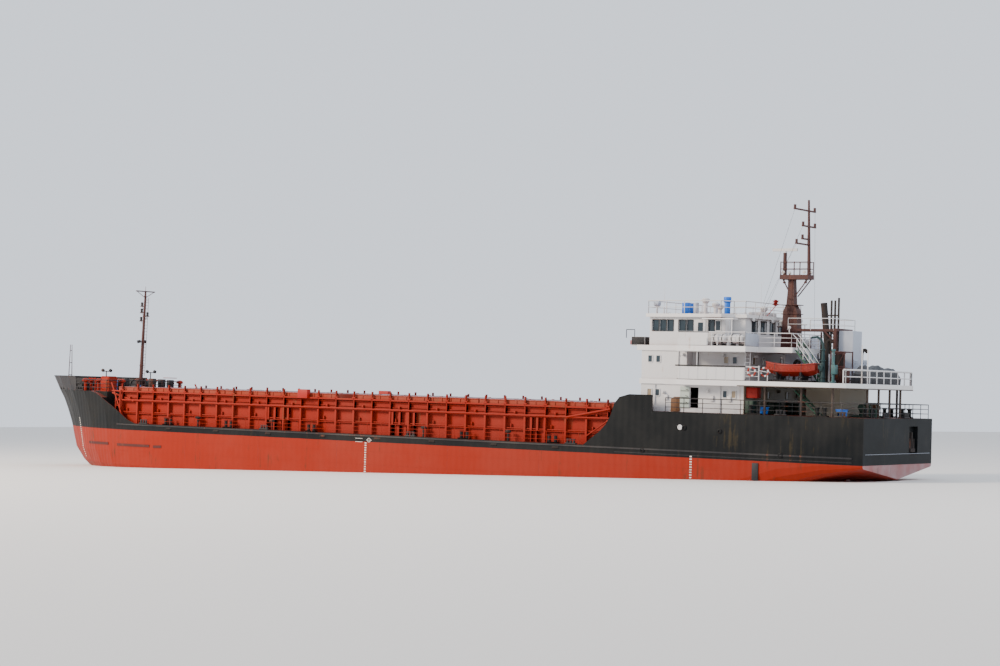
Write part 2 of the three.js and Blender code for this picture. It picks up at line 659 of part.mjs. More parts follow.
function wheelhouse() {
  const top = ROOF - ROOF_THICK - BRIDGE_DECK - 2 * GAP;
  const corners = both((s) => {
    const y = s * CORNER.y;
    const round = rod([CORNER.x, y, 0], [CORNER.x, y, top], CORNER.radius, 16);
    return round.subtract(box([-32.4 * M + WALL / 2, -31 * M], [-5.45 * M, 5.45 * M], [-5, top + 5]));
  });
  const rooms = cut(room(WHEELHOUSE, 0, top));
  const walls = join(rooms, corners);
  const openings = [];
  for (const s of [1, -1]) {
    const through = s > 0 ? [5.2 * M, 6 * M] : [-6 * M, -5.2 * M];
    openings.push(box(WING_DOOR.x, through, WING_DOOR.z));
    for (const [x0, x1] of SIDE_WINDOWS) openings.push(box([x0 * M, x1 * M], through, PANE_Z));
  }
  for (let i = 0; i < FRONT_PANES; i++) {
    const y = (i - (FRONT_PANES - 1) / 2) * FRONT_PITCH;
    openings.push(box([-26.5 * M, -26 * M], [y - 0.5 * M, y + 0.5 * M], PANE_Z));
  }
  for (let i = 0; i < AFT_PANES; i++) {
    const y = (i - (AFT_PANES - 1) / 2) * 1.5 * M;
    openings.push(box([-34.2 * M, -33.8 * M], [y - 0.4 * M, y + 0.4 * M], PANE_Z));
  }
  return cut(walls, openings);
}

// A band of glass just inside the walls, behind all the windows.
function wheelhouseGlazing() {
  const glass = 0.05 * M;
  const inset = WALL + GAP;
  const band = ([x0, x1, half], by, z) =>
    box([x0 * M + by, x1 * M - by], [by - half * M, half * M - by], z);
  const z = [PANE_Z[0] - 5, PANE_Z[1] + 5];
  const outer = WHEELHOUSE.map((r) => band(r, inset, z));
  const inner = WHEELHOUSE.map((r) => band(r, inset + glass, [z[0] - 5, z[1] + 5]));
  const doorways = both((s) =>
    box([WING_DOOR.x[0] - 4, WING_DOOR.x[1] + 4], s > 0 ? [5 * M, 6 * M] : [-6 * M, -5 * M], [
      z[0] - 5,
      WING_DOOR.z[1] + 2,
    ]));
  return cut(join(outer), inner, doorways);
}

// Decks of the superstructure: half an outline, X and half-breadth in metres from the fore end aft.
const BOAT_DECK_EDGE = [[-25.5, 5.7], [-29.3, 5.7], [-29.3, 6.7], [-42.2, 6.7], [-43.2, 6.1], [-43.85, 4.6]];
const BRIDGE_DECK_EDGE = [[-25.2, 5.7], [-29.3, 5.7], [-29.3, 6.7], [-35.2, 6.7], [-35.2, 4.7], [-38.1, 4.7]];
const ROOF_EDGE = [[-26.0, 5.8], [-32.6, 5.8], [-33.2, 4.8], [-34.25, 4.8]];
const inMillimetres = (route) => route.map(([x, y]) => [x * M, y * M]);
const slab = (edge, z0, z1) => plan(inMillimetres(mirrored(edge)), z0, z1);

// Pillars under the overhang of the boat deck: X and Y in metres.
const PILLARS = [[-36.5, 5.85], [-39.5, 5.85], [-42.0, 5.8], [-43.5, 3.0], [-43.5, 1.0]];
// Ensign staff and aerial at the after edge of the boat deck: X, Y and top, in metres.
const STAFFS = [
  [-43.55, 4.2, 13.2],
  [-43.65, 3.4, 12.9],
];

function boatDeck() {
  const deck = slab(BOAT_DECK_EDGE, BOAT_DECK - DECK_EDGE, BOAT_DECK);
  const pillars = PILLARS.flatMap(([x, y]) =>
    both((s) =>
      rod([x * M, s * y * M, POOP_DECK + GAP], [x * M, s * y * M, BOAT_DECK - 10], 0.09 * M, 8)),
  );
  const staffs = STAFFS.map(([x, y, top]) =>
    rod([x * M, y * M, BOAT_DECK - 10], [x * M, y * M, top * M], 0.045 * M, 6));
  return join(deck, pillars, staffs);
}

// Round fittings on the roof: X, Y, radius and height, in metres. The first is the tall blue vent.
const ROOF_FITTINGS = [
  [-31.4, 2.6, 0.22, 1.4],
  [-29.7, 3.0, 0.16, 1.3],
  [-30.6, 3.0, 0.16, 1.0],
  [-28.0, -2.5, 0.16, 1.1],
  [-32.2, -2.0, 0.16, 0.9],
  [-28.2, 3.4, 0.32, 0.95],
  [-28.0, 2.5, 0.32, 0.95],
  [-27.2, 0.0, 0.22, 1.1],
  [-26.5, 5.0, 0.06, 0.8],
  [-26.5, -5.0, 0.06, 0.8],
];

function wheelhouseRoof() {
  const roof = slab(ROOF_EDGE, ROOF - ROOF_THICK, ROOF);
  const fittings = ROOF_FITTINGS.map(([x, y, radius, high]) =>
    rod([x * M, y * M, ROOF - 5], [x * M, y * M, ROOF + high * M], radius * M, 10));
  const canopies = both((s) => {
    const across = (a, b) => (s > 0 ? [a * M, b * M] : [-b * M, -a * M]);
    const post = (x) =>
      rod([x * M, s * 6.2 * M, BRIDGE_DECK + GAP], [x * M, s * 6.2 * M, 15 * M], 0.035 * M, 8);
    return [
      box([-33.9 * M, -31.2 * M], across(5.53, 6.3), [14.98 * M, 15.06 * M]),
      box([-32.5 * M, -31.2 * M], across(5.53, 5.62), [15 * M, ROOF - 5]),
      post(-31.4),
      post(-33.75),
    ];
  });
  return join(roof, fittings, canopies);
}

// The deck with the side-light screens that reach forward of it.
function bridgeDeck() {
  const deck = slab(BRIDGE_DECK_EDGE, BRIDGE_DECK - DECK_EDGE, BRIDGE_DECK);
  const screens = both((s) => {
    const across = (a, b) => (s > 0 ? [a * M, b * M] : [-b * M, -a * M]);
    return [
      box([-25.7 * M, -24.5 * M], across(4.6, 5.38), [12.88 * M, 12.98 * M]),
      box([-25.7 * M, -24.5 * M], across(5.3, 5.38), [12.9 * M, 13.6 * M]),
      box([-25.7 * M, -25.62 * M], across(4.6, 5.38), [12.9 * M, 13.6 * M]),
    ];
  });
  return join(deck, screens);
}

const onPoop = place(0, 0, POOP_DECK + GAP);
const onBoatDeck = place(0, 0, BOAT_DECK + GAP);
const onBridge = place(0, 0, BRIDGE_DECK + GAP);
const onRoof = place(0, 0, ROOF + GAP);
piece("deckhouse_tier_1", tierOne(), WHITE, onPoop);
piece("boat_deck", boatDeck(), WHITE);
piece("deckhouse_tier_2", tierTwo(), WHITE, onBoatDeck);
piece("bridge_deck", bridgeDeck(), WHITE);
piece("wheelhouse", wheelhouse(), WHITE, onBridge);
piece("wheelhouse_glazing", wheelhouseGlazing(), GLASS, onBridge);
piece("wheelhouse_roof", wheelhouseRoof(), WHITE);

// Weathertight doors lie over their doorways on the outside of the wall, hinged at the forward jamb.
const DOOR_THICK = 0.05 * M;

function door({ x, z }) {
  const lap = 0.05 * M;
  return box([-size(x) - 2 * lap, 0], [-DOOR_THICK / 2, DOOR_THICK / 2], [z[0] - lap, z[1] + lap]);
}

const doorAxisY = (half) => half + GAP + DOOR_THICK / 2;
const poopDoor = place(POOP_DOOR.x[1] + 5, doorAxisY(TIER_HALF), 0, onPoop);
poopDoor.rotation.z = Math.PI; // it stands open, folded back against the wall
piece("poop_door_port", door(POOP_DOOR), GREEN, poopDoor);
for (const [side, s] of [["port", 1], ["starboard", -1]]) {
  const hinge = place(WING_DOOR.x[1] + 5, s * doorAxisY(5.5 * M), 0, onBridge);
  piece("wheelhouse_door_" + side, door(WING_DOOR), WHITE, hinge);
}

// Railings and dodgers round the decks.
const EDGE_IN = 0.12; // of a railing inside the deck's edge, in metres
const inward = (edge) => edge.map(([x, y]) => [x, y - EDGE_IN]);

function boatDeckRails() {
  const edge = [
    [-29.3 - EDGE_IN, 6.7],
    [-42.1, 6.7],
    [-43.1, 6.1],
    [-43.72, 4.6],
  ];
  const route = inMillimetres(mirrored(inward(edge)));
  const dodger = both((s) =>
    box([-35.2 * M, -29.4 * M], [s * 6.58 * M - 3, s * 6.58 * M + 3], [0.05 * M, 1.0 * M]));
  return join(railing(route, 0), dodger);
}

function bridgeRails() {
  const edge = [
    [-29.3 - EDGE_IN, 5.75],
    [-29.3 - EDGE_IN, 6.7],
    [-35.08, 6.7],
    [-35.08, 4.7],
    [-37.96, 4.7],
  ];
  const route = inMillimetres(mirrored(inward(edge)));
  const boards = both((s) =>
    box([-35.0 * M, -29.4 * M], [s * 6.58 * M - 3, s * 6.58 * M + 3], [0.05 * M, 1.0 * M]));
  return join(railing(route, 0), boards);
}

function poopRails() {
  const route = inMillimetres(mirrored([[-28.3, 6.55], [-38, 6.5], [-44.55, 6.1]]));
  return railing(route, 0);
}

function roofRails() {
  const route = inMillimetres(mirrored(inward([[-26.15, 5.8], [-32.5, 5.8], [-33.1, 4.8], [-34.1, 4.8]])));
  return railing([...route, route[0]], 0, { height: 1.0 * M });
}

piece("boat_deck_rails", boatDeckRails(), WHITE, onBoatDeck);
piece("bridge_rails", bridgeRails(), WHITE, onBridge);
piece("poop_rails", poopRails(), SOOT, onPoop);
piece("roof_rails", roofRails(), WHITE, onRoof);

// Engine casing with its funnel box, exhaust pipes and the portal behind the mast.
const TRUNK_HEIGHT = BOAT_DECK - DECK_EDGE - POOP_DECK - 2 * GAP;

// The casing's lower part, which passes down through the poop.
const casingTrunk = () => box([-41.0 * M, -38.2 * M], [-2.4 * M, 2.4 * M], [0, TRUNK_HEIGHT]);

// An upright hose reel by the casing.
function hoseReel() {
  const spool = rod([0, 0, 0.3 * M], [0, 0, 2.25 * M], 0.34 * M, 12);
  const flanges = [0, 0.3, 1.2, 2.2].map((z) =>
    rod([0, 0, z * M], [0, 0, (z + 0.1) * M], 0.43 * M, 12));
  const foot = rod([0, 0, 0], [0, 0, 0.35 * M], 0.2 * M, 12);
  return join(spool, flanges, foot);
}

const CASING_TOP = BRIDGE_DECK - DECK_EDGE - GAP - BOAT_DECK - GAP; // above the boat deck

function engineCasing() {
  const casing = box([-40.2 * M, -36.2 * M], [-2.0 * M, 2.0 * M], [0, CASING_TOP]);
  const funnel = box([-41.3 * M, -40.15 * M], [-0.6 * M, 1.0 * M], [0, 4.0 * M]);
  return join(casing, funnel);
}

function exhaustPipes() {
  const z0 = BOAT_DECK + GAP + CASING_TOP + GAP;
  const thick = rod([-38.8 * M, 0, z0], [-38.35 * M, 0, 16.5 * M], 0.26 * M, 12);
  const thin = [[-39.05, 16.7], [-39.35, 16.7], [-39.65, 16.9]].map(([x, top]) =>
    rod([x * M, 0.1 * M, z0], [x * M, 0.1 * M, top * M], 0.08 * M, 8));
  const tie = box([-39.65 * M, -38.5 * M], [-0.04 * M, 0.14 * M], [15.5 * M, 15.6 * M]);
  const whole = join(thick, thin, tie);
  return whole.subtract(box([-41 * M, -37 * M], [-M, M], [z0 - M, z0]));
}

const MAST_BASE = { x: [-36.4 * M, -34.96 * M], half: 0.45 * M, z: BRIDGE_DECK + GAP };
const MAST_WAIST = { x: [-36.25 * M, -35.1 * M], half: 0.4 * M, z: 15.9 * M };
const MAST_NECK = { x: [-35.95 * M, -35.3 * M], half: 0.3 * M, z: 16.4 * M };
const MAST_TOP = { x: [-35.87 * M, -35.42 * M], half: 0.22 * M, z: 18.36 * M };

function ringAt({ x, half, z }) {
  return [[x[0], -half, z], [x[1], -half, z], [x[1], half, z], [x[0], half, z]];
}

function portalFrame() {
  const z = 14.4 * M;
  const foot = BOAT_DECK + CASING_TOP + 2 * GAP;
  const legs = both((s) => box([-40.1 * M, -39.85 * M], [s * 1.3 * M - 12, s * 1.3 * M + 12], [foot, z]));
  const across = box([-40.15 * M, -39.8 * M], [-1.42 * M, 1.42 * M], [z - 12, z + 12]);
  const beams = both((s) =>
    box([-40 * M, MAST_BASE.x[0] + 0.16 * M], [s * 0.45 * M - 8, s * 0.45 * M + 8], [z - 10, z + 10]));
  const braces = both((s) =>
    rod([-39.95 * M, s * 1.3 * M, 13.4 * M], [-38.6 * M, s * 0.45 * M, z], 0.08 * M, 4));
  return cut(join(legs, across, beams, braces), mastColumn(GAP));
}

const mastColumn = (grow = 0) => {
  const wider = ({ x, half, z }) => ({ x: [x[0] - grow, x[1] + grow], half: half + grow, z });
  const rings = [MAST_BASE, MAST_WAIST, MAST_NECK, MAST_TOP].map((row) => ringAt(wider(row)));
  return loft(rings);
};

// Yards of the topmast with a lamp at each end: height and Y at the two ends, in metres.
const YARDS = [
  [23.6, -1.05, 2.6],
  [22.4, -1.15, 1.15],
  [21.4, -0.1, 1.2],
  [20.98, -0.1, 2.2],
];
const PLATFORM = { x: [-37.2 * M, -34.8 * M], half: 0.55 * M, thick: 0.3 * M };
const RADAR = { x: -34.95 * M, z: 20.4 * M };

function mainMast() {
  const { x, half, thick } = PLATFORM;
  const platform = box(x, [-half, half], [MAST_TOP.z - 5, MAST_TOP.z + thick]);
  const deck = MAST_TOP.z + thick;
  const [aft, fore, side] = [x[0] + 5, x[1] - 5, half - 5];
  const corners = [
    [aft, side],
    [fore, side],
    [fore, -side],
    [aft, -side],
    [aft, side],
  ];
  const rails = railing(corners, deck - 3, { step: 1.3 * M });
  const pedestal = rod([RADAR.x, 0, deck - 5], [RADAR.x, 0, RADAR.z - GAP], 0.15 * M, 10);
  const topmast = rod([-37.03 * M, 0, deck - 5], [-36.87 * M, 0, 24.46 * M], 0.15 * M, 10, 0.08 * M);
  const yards = YARDS.map(([z, y0, y1]) => [
    box([-37 * M, -36.86 * M], [y0 * M, y1 * M], [(z - 0.06) * M, (z + 0.06) * M]),
    [y0, y1].map((y) => {
      const end = (Math.abs(y) - 0.12) * Math.sign(y) * M;
      return rod([-36.93 * M, end, z * M], [-36.93 * M, end, (z + 0.32) * M], 0.1 * M, 8);
    }),
  ]);
  return join(mastColumn(), platform, rails, pedestal, topmast, yards);
}

const radarScanner = () =>
  join(
    rod([0, 0, 0], [0, 0, 0.15 * M], 0.14 * M, 12),
    box([-1.05 * M, 1.05 * M], [-0.08 * M, 0.08 * M], [0.12 * M, 0.34 * M]),
  );

piece("casing_trunk", casingTrunk(), WHITE, onPoop);
piece("engine_casing", engineCasing(), GREY, onBoatDeck);
piece("hose_reel", hoseReel(), BROWN, place(-41.2 * M, 3.0 * M, 0, onBoatDeck));
piece("exhaust_pipes", exhaustPipes(), SOOT);
piece("portal_frame", portalFrame(), BROWN);
piece("main_mast", mainMast(), BROWN);
piece("radar_scanner", radarScanner(), WHITE, place(RADAR.x, 0, RADAR.z));

const HANDRAIL_HEIGHT = 0.85 * M;

// An inclined stair: two strings and its treads, from the foot (x0, 0) to the head (x1, rise).
function stair(x0, x1, rise, y, treads, rails = []) {
  const run = (x1 - x0) / treads;
  const depth = 0.12 * M;
  const wide = Math.sign(run) * 0.16 * M;
  const outline = [
    [x0, 0],
    [x0 + wide, 0],
    [x1 + wide, rise - depth],
    [x1, rise - depth],
  ];
  const strings = y.map((side) => profile(outline, side - 3, side + 3));
  const handrails = rails.map((side) => {
    const [foot, head] = [x0 + wide / 2, x1 + wide / 2];
    const rail = HANDRAIL_HEIGHT;
    const posts = [0.12, 0.5, 0.88].map((t) => {
      const [x, z] = [foot + (head - foot) * t, (rise - depth) * t];
      return box([x - 2, x + 2], [side - 2, side + 2], [z, z + rail + 1]);
    });
    const top = [0.1, 0.9].map((t) => [foot + (head - foot) * t, side, (rise - depth) * t + rail]);
    return [posts, rod(...top, 0.025 * M, 4)];
  });
  const steps = [];
  for (let i = 1; i < treads; i++) {
    const x = x0 + run * i + 0.08 * M * Math.sign(run);
    const z = ((rise - depth) * i) / treads;
    steps.push(box([x - 0.12 * M, x + 0.12 * M], [Math.min(...y), Math.max(...y)], [z - 3, z + 3]));
  }
  return join(strings, steps, handrails);
}

const BRIDGE_STAIR_Y = [3.6 * M, 4.4 * M];
const bridgeStair = stair(-40.3 * M, -38.3 * M, 2.55 * M, BRIDGE_STAIR_Y, 9, BRIDGE_STAIR_Y);
piece("bridge_stair", bridgeStair, GREEN, onBoatDeck);
piece("poop_stair", stair(-40.2 * M, -38.2 * M, 2.0 * M, [3.4 * M, 4.2 * M], 8), GREEN, onPoop);

// Work boat on its cradle, with the davit aft of it.
const BOAT_X = [-40.5 * M, -36.3 * M];
const BOAT_Y = 5.35 * M;
const BOAT_KEEL = 0.42 * M; // above the boat deck

// Sections of the boat: place along it from 0 to 1, half-breadth, keel and gunwale height, in metres.
const BOAT_SECTIONS = [
  [0, 0.5, 0.25, 0.98],
  [0.12, 0.72, 0.05, 0.9],
  [0.45, 0.8, 0, 0.82],
  [0.75, 0.7, 0.02, 0.88],
  [0.92, 0.34, 0.25, 0.98],
  [1, 0.06, 0.6, 1.06],
];

function workBoat() {
  const rings = BOAT_SECTIONS.map(([t, half, keel, sheer]) => {
    const x = BOAT_X[0] + t * size(BOAT_X);
    const outline = [[half, sheer], [-half, sheer], [-half * 0.85, 0.35 + keel * 0.6], [0, keel],
      [half * 0.85, 0.35 + keel * 0.6]];
    return outline.map(([y, z]) => [x, BOAT_Y + y * M, BOAT_KEEL + z * M]);
  });
  const whole = loft(rings);
  const inside = loft(
    rings.map((ring) => ring.map(([x, y, z], i) => [
      x,
      BOAT_Y + (y - BOAT_Y) * 0.88,
      i < 2 ? z + 5 : Math.max(z + 8, BOAT_KEEL + 0.2 * M),
    ])),
  ).intersect(box([BOAT_X[0] + 8, BOAT_X[1] - 0.5 * M], [4 * M, 7 * M], [0, 3 * M]));
  return whole.subtract(inside);
}

// A chock of the cradle: Y from the boat's middle and height, in metres.
const CHOCK = [
  [-0.55, 0.05],
  [0.55, 0.05],
  [0.75, 0.72],
  [0.62, 0.72],
  [0, 0.47],
  [-0.62, 0.72],
  [-0.75, 0.72],
];

function boatCradle() {
  const long = [BOAT_X[0] + 0.3 * M, BOAT_X[1] - 0.3 * M];
  const rails = both((s) => {
    const y = BOAT_Y + s * 0.4 * M;
    return box(long, [y - 5, y + 5], [0, 0.12 * M]);
  });
  const chocks = [0.25, 0.72].map((t) => {
    const x = BOAT_X[0] + t * size(BOAT_X);
    return section(CHOCK.map(([y, z]) => [BOAT_Y + y * M, z * M]), x - 5, x + 5);
  });
  return join(rails, chocks);
}

const DAVIT = { x: -40.95 * M, y: 5.35 * M };

// The davit's curved arm: reach and height above the boat deck, in metres.
const DAVIT_ARM = [
  [0, 2.55],
  [0.05, 2.9],
  [0.2, 3.2],
  [0.5, 3.38],
  [0.95, 3.35],
];
const DAVIT_ARM_R = 0.09 * M;

function boatDavit() {
  const base = rod([0, 0, 0], [0, 0, 0.1 * M], 0.32 * M, 12);
  const post = rod([0, 0, 0], [0, 0, 2.6 * M], 0.2 * M, 10, 0.11 * M);
  const points = DAVIT_ARM.map(([x, z]) => [x * M, 0, z * M]);
  const bends = points.slice(1).map((point, i) => rod(points[i], point, DAVIT_ARM_R, 8));
  const knuckles = points
    .slice(1, -1)
    .map(([x, , z]) => rod([x, 0.5 - DAVIT_ARM_R, z], [x, DAVIT_ARM_R - 0.5, z], DAVIT_ARM_R, 8));
  return join(base, post, bends, knuckles);
}

const boatShape = workBoat();
piece("work_boat", boatShape, ORANGE, onBoatDeck);
const seatedCradle = cut(boatCradle(), boatShape.translate([0, 0, -GAP]), boatShape);
piece("boat_cradle", seatedCradle, SOOT, onBoatDeck);
piece("boat_davit", boatDavit(), TEAL, place(DAVIT.x, DAVIT.y, 0, onBoatDeck));

// Stores under a tarpaulin along the after rail of the boat deck: Y, shoulder and crown, in metres.
const HEAP = [
  [-3.3, 0.5, 0.7],
  [-2.6, 0.9, 1.35],
  [-1.2, 0.8, 1.2],
  [0.2, 0.95, 1.5],
  [1.4, 0.85, 1.25],
  [2.5, 0.95, 1.45],
  [3.3, 0.55, 0.75],
];

function coveredStores() {
  const rings = HEAP.map(([y, low, high]) => {
    const outline = [[-43.4, 0], [-43.45, low], [-43.05, high], [-42.6, high], [-42.25, low], [-42.2, 0]];
    return outline.map(([x, z]) => [x * M, y * M, z * M]);
  });
  return loft(rings);
}
piece("covered_stores", coveredStores(), TARP, onBoatDeck);

// Mooring winch aft on the poop.
const winch = place(-42.3 * M, 0, 0, onPoop);
piece("mooring_winch_frame", windlassFrame(), GREEN, winch);
piece("mooring_winch_drum", winchBarrel(), GREEN, place(0, 0, WINCH_AXIS_Z, winch));

export default ship;
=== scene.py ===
# %% [markdown]
# # A river-sea cargo vessel at 1:10
#
# The ship comes from the CAD frame as plain solids: hull, coamings, hatch covers, deckhouse, masts.
# This lesson gives them their paint, rust and dust, and adds the fittings that are too small for the
# solids: round railings, portholes, stays, lamps, pipes and tackle. Lengths are metres of the model,
# so that one metre of the real ship is 0.1 here. X points to the bow, Y to port and Z up.

import math

import bmesh
import bpy
from mathutils import Matrix, Vector
from mathutils.bvhtree import BVHTree


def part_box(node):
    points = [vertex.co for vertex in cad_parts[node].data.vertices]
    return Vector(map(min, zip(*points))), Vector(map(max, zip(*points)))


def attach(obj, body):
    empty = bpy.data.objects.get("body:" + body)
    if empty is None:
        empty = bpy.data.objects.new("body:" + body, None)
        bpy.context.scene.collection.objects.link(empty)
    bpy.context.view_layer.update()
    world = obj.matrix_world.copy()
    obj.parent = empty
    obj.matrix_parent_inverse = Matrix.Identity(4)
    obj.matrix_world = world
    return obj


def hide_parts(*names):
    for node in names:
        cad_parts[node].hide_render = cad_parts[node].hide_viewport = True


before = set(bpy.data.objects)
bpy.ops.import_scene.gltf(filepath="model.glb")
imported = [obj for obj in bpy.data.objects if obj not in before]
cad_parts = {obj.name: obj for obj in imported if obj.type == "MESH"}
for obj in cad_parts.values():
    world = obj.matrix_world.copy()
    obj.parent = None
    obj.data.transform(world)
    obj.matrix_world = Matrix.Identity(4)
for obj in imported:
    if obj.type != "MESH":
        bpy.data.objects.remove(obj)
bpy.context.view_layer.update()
M = 0.1  # one metre of the real ship
SHIP = "ship"  # the body that everything fixed rides on
print("nodes in the frame:", len(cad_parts))

# %% [markdown]
# ## Camera and floor
#
# The ship was photographed with a long lens from its port quarter, a little above the deck, on a
# camera that was tilted slightly. A camera matrix built from the view direction, with a small roll,
# repeats this better than a tracking constraint, which has no roll.
# The ship floats trimmed by the stern. The frame stands upright on its keel, so the floor carries the trim:
# it is a plane at the waterline that rises towards the stern.

# %% Camera
YAW, PITCH, ROLL = (math.radians(a) for a in (34.338, 1.334, 1.602))
forward = Vector((math.sin(YAW) * math.cos(PITCH), -math.cos(YAW) * math.cos(PITCH), math.sin(PITCH)))
level_right = Vector((-math.cos(YAW), -math.sin(YAW), 0.0))
level_up = level_right.cross(forward)
right = level_right * math.cos(ROLL) + level_up * math.sin(ROLL)
up = level_up * math.cos(ROLL) - level_right * math.sin(ROLL)

camera_data = bpy.data.cameras.new("port_quarter")
camera_data.lens = 75.6
camera_data.sensor_width = 36.0
camera_data.clip_end = 200.0
camera = bpy.data.objects.new("port_quarter", camera_data)
turn = Matrix((right, up, -forward)).transposed().to_4x4()
camera.matrix_world = Matrix.Translation((-10.87, 14.691, 0.976)) @ turn
bpy.context.scene.collection.objects.link(camera)
bpy.context.scene.camera = camera
print("camera looks along", [round(c, 3) for c in forward])

# %% Floor at the waterline
WATERLINE = 0.181  # height amidships
TRIM = -0.0305  # the waterline's slope towards the bow


def waterline(x):
    """Height of the floor at a place along the ship."""
    return WATERLINE + TRIM * x


bm = bmesh.new()
lines_x, lines_y = (-60.0, -2.4, 3.1, 60.0), (-60.0, -0.55, 0.55, 60.0)  # the holds lie in the middle square
corners = [[bm.verts.new((x, y, waterline(x))) for y in lines_y] for x in lines_x]
for i in range(3):
    for j in range(3):
        if (i, j) != (1, 1):  # open, so the floor doesn't show in the holds when the covers are up
            bm.faces.new((corners[i][j], corners[i + 1][j], corners[i + 1][j + 1], corners[i][j + 1]))
floor_mesh = bpy.data.meshes.new("studio_floor")
bm.to_mesh(floor_mesh)
bm.free()
floor = bpy.data.objects.new("studio_floor", floor_mesh)
bpy.context.scene.collection.objects.link(floor)
print("floor at the stern", round(waterline(-4.475), 3), "and at the bow", round(waterline(4.2), 3))

# %% [markdown]
# ## Soft studio light
#
# A pale world fills the shadows. One large warm panel stands off the port bow, where the sun was, and
# a weaker cool one stands off the stern so that the after faces stay darker than the side, as they are
# on the real ship.

# %% Light


def panel(name, place, aim, size, power, colour):
    """A square area light that looks at a point."""
    light = bpy.data.lights.new(name, "AREA")
    light.size = size
    light.energy = power
    light.color = colour
    lamp = bpy.data.objects.new(name, light)
    lamp.location = place
    lamp.rotation_euler = (Vector(aim) - Vector(place)).to_track_quat("-Z", "Y").to_euler()
    bpy.context.scene.collection.objects.link(lamp)


panel("sun_side", (9.0, 13.0, 9.0), (0.0, 0.0, 0.5), 5.0, 5200.0, (1.0, 0.84, 0.68))
panel("stern_fill", (-13.0, 4.0, 7.0), (-3.0, 0.0, 0.8), 6.0, 450.0, (0.86, 0.92, 1.0))
world = bpy.data.worlds.new("studio")
bpy.context.scene.world = world
world.use_nodes = True
world.node_tree.nodes["Background"].inputs["Color"].default_value = (0.84, 0.90, 1.0, 1.0)
world.node_tree.nodes["Background"].inputs["Strength"].default_value = 1.3

# %% [markdown]
# ## Making materials
#
# Nearly everything aboard is marine enamel brushed or rolled over steel, so one recipe serves with
# different colours. What the eye reads as an old working ship is on top of the paint: long streaks
# where water ran down, patches of rust that bleed through, pale dust, and plates that are not quite
# flat. The streaks are noise that is squeezed across and stretched down. All patterns are sized in
# metres of the model: a streak 0.25 m wide on the ship is 0.025 here.

# %% One function for nodes, one for colours


def linear(code):
    """An sRGB hex colour as a linear RGBA colour."""
    parts = [int(code[i : i + 2], 16) / 255 for i in (1, 3, 5)]
    return [c / 12.92 if c <= 0.04045 else ((c + 0.055) / 1.055) ** 2.4 for c in parts] + [1.0]


def add(tree, kind, inputs=None, **settings):
    """Adds a node, with its properties by keyword and its inputs, set or linked, by name or number."""
    made = tree.nodes.new(kind)
    for key, value in settings.items():
        setattr(made, key, value)
    for key, value in (inputs or {}).items():
        if isinstance(value, bpy.types.NodeSocket):
            tree.links.new(value, made.inputs[key])
        else:
            made.inputs[key].default_value = value
    return made


def empty_material(name):
    """A material with an empty node tree, and its tree."""
    made = bpy.data.materials.new(name)
    made.use_nodes = True
    made.node_tree.nodes.clear()
    return made, made.node_tree


print("white enamel in linear light:", [round(c, 2) for c in linear("#e4e4e6")])

# %% The recipe for weathered enamel


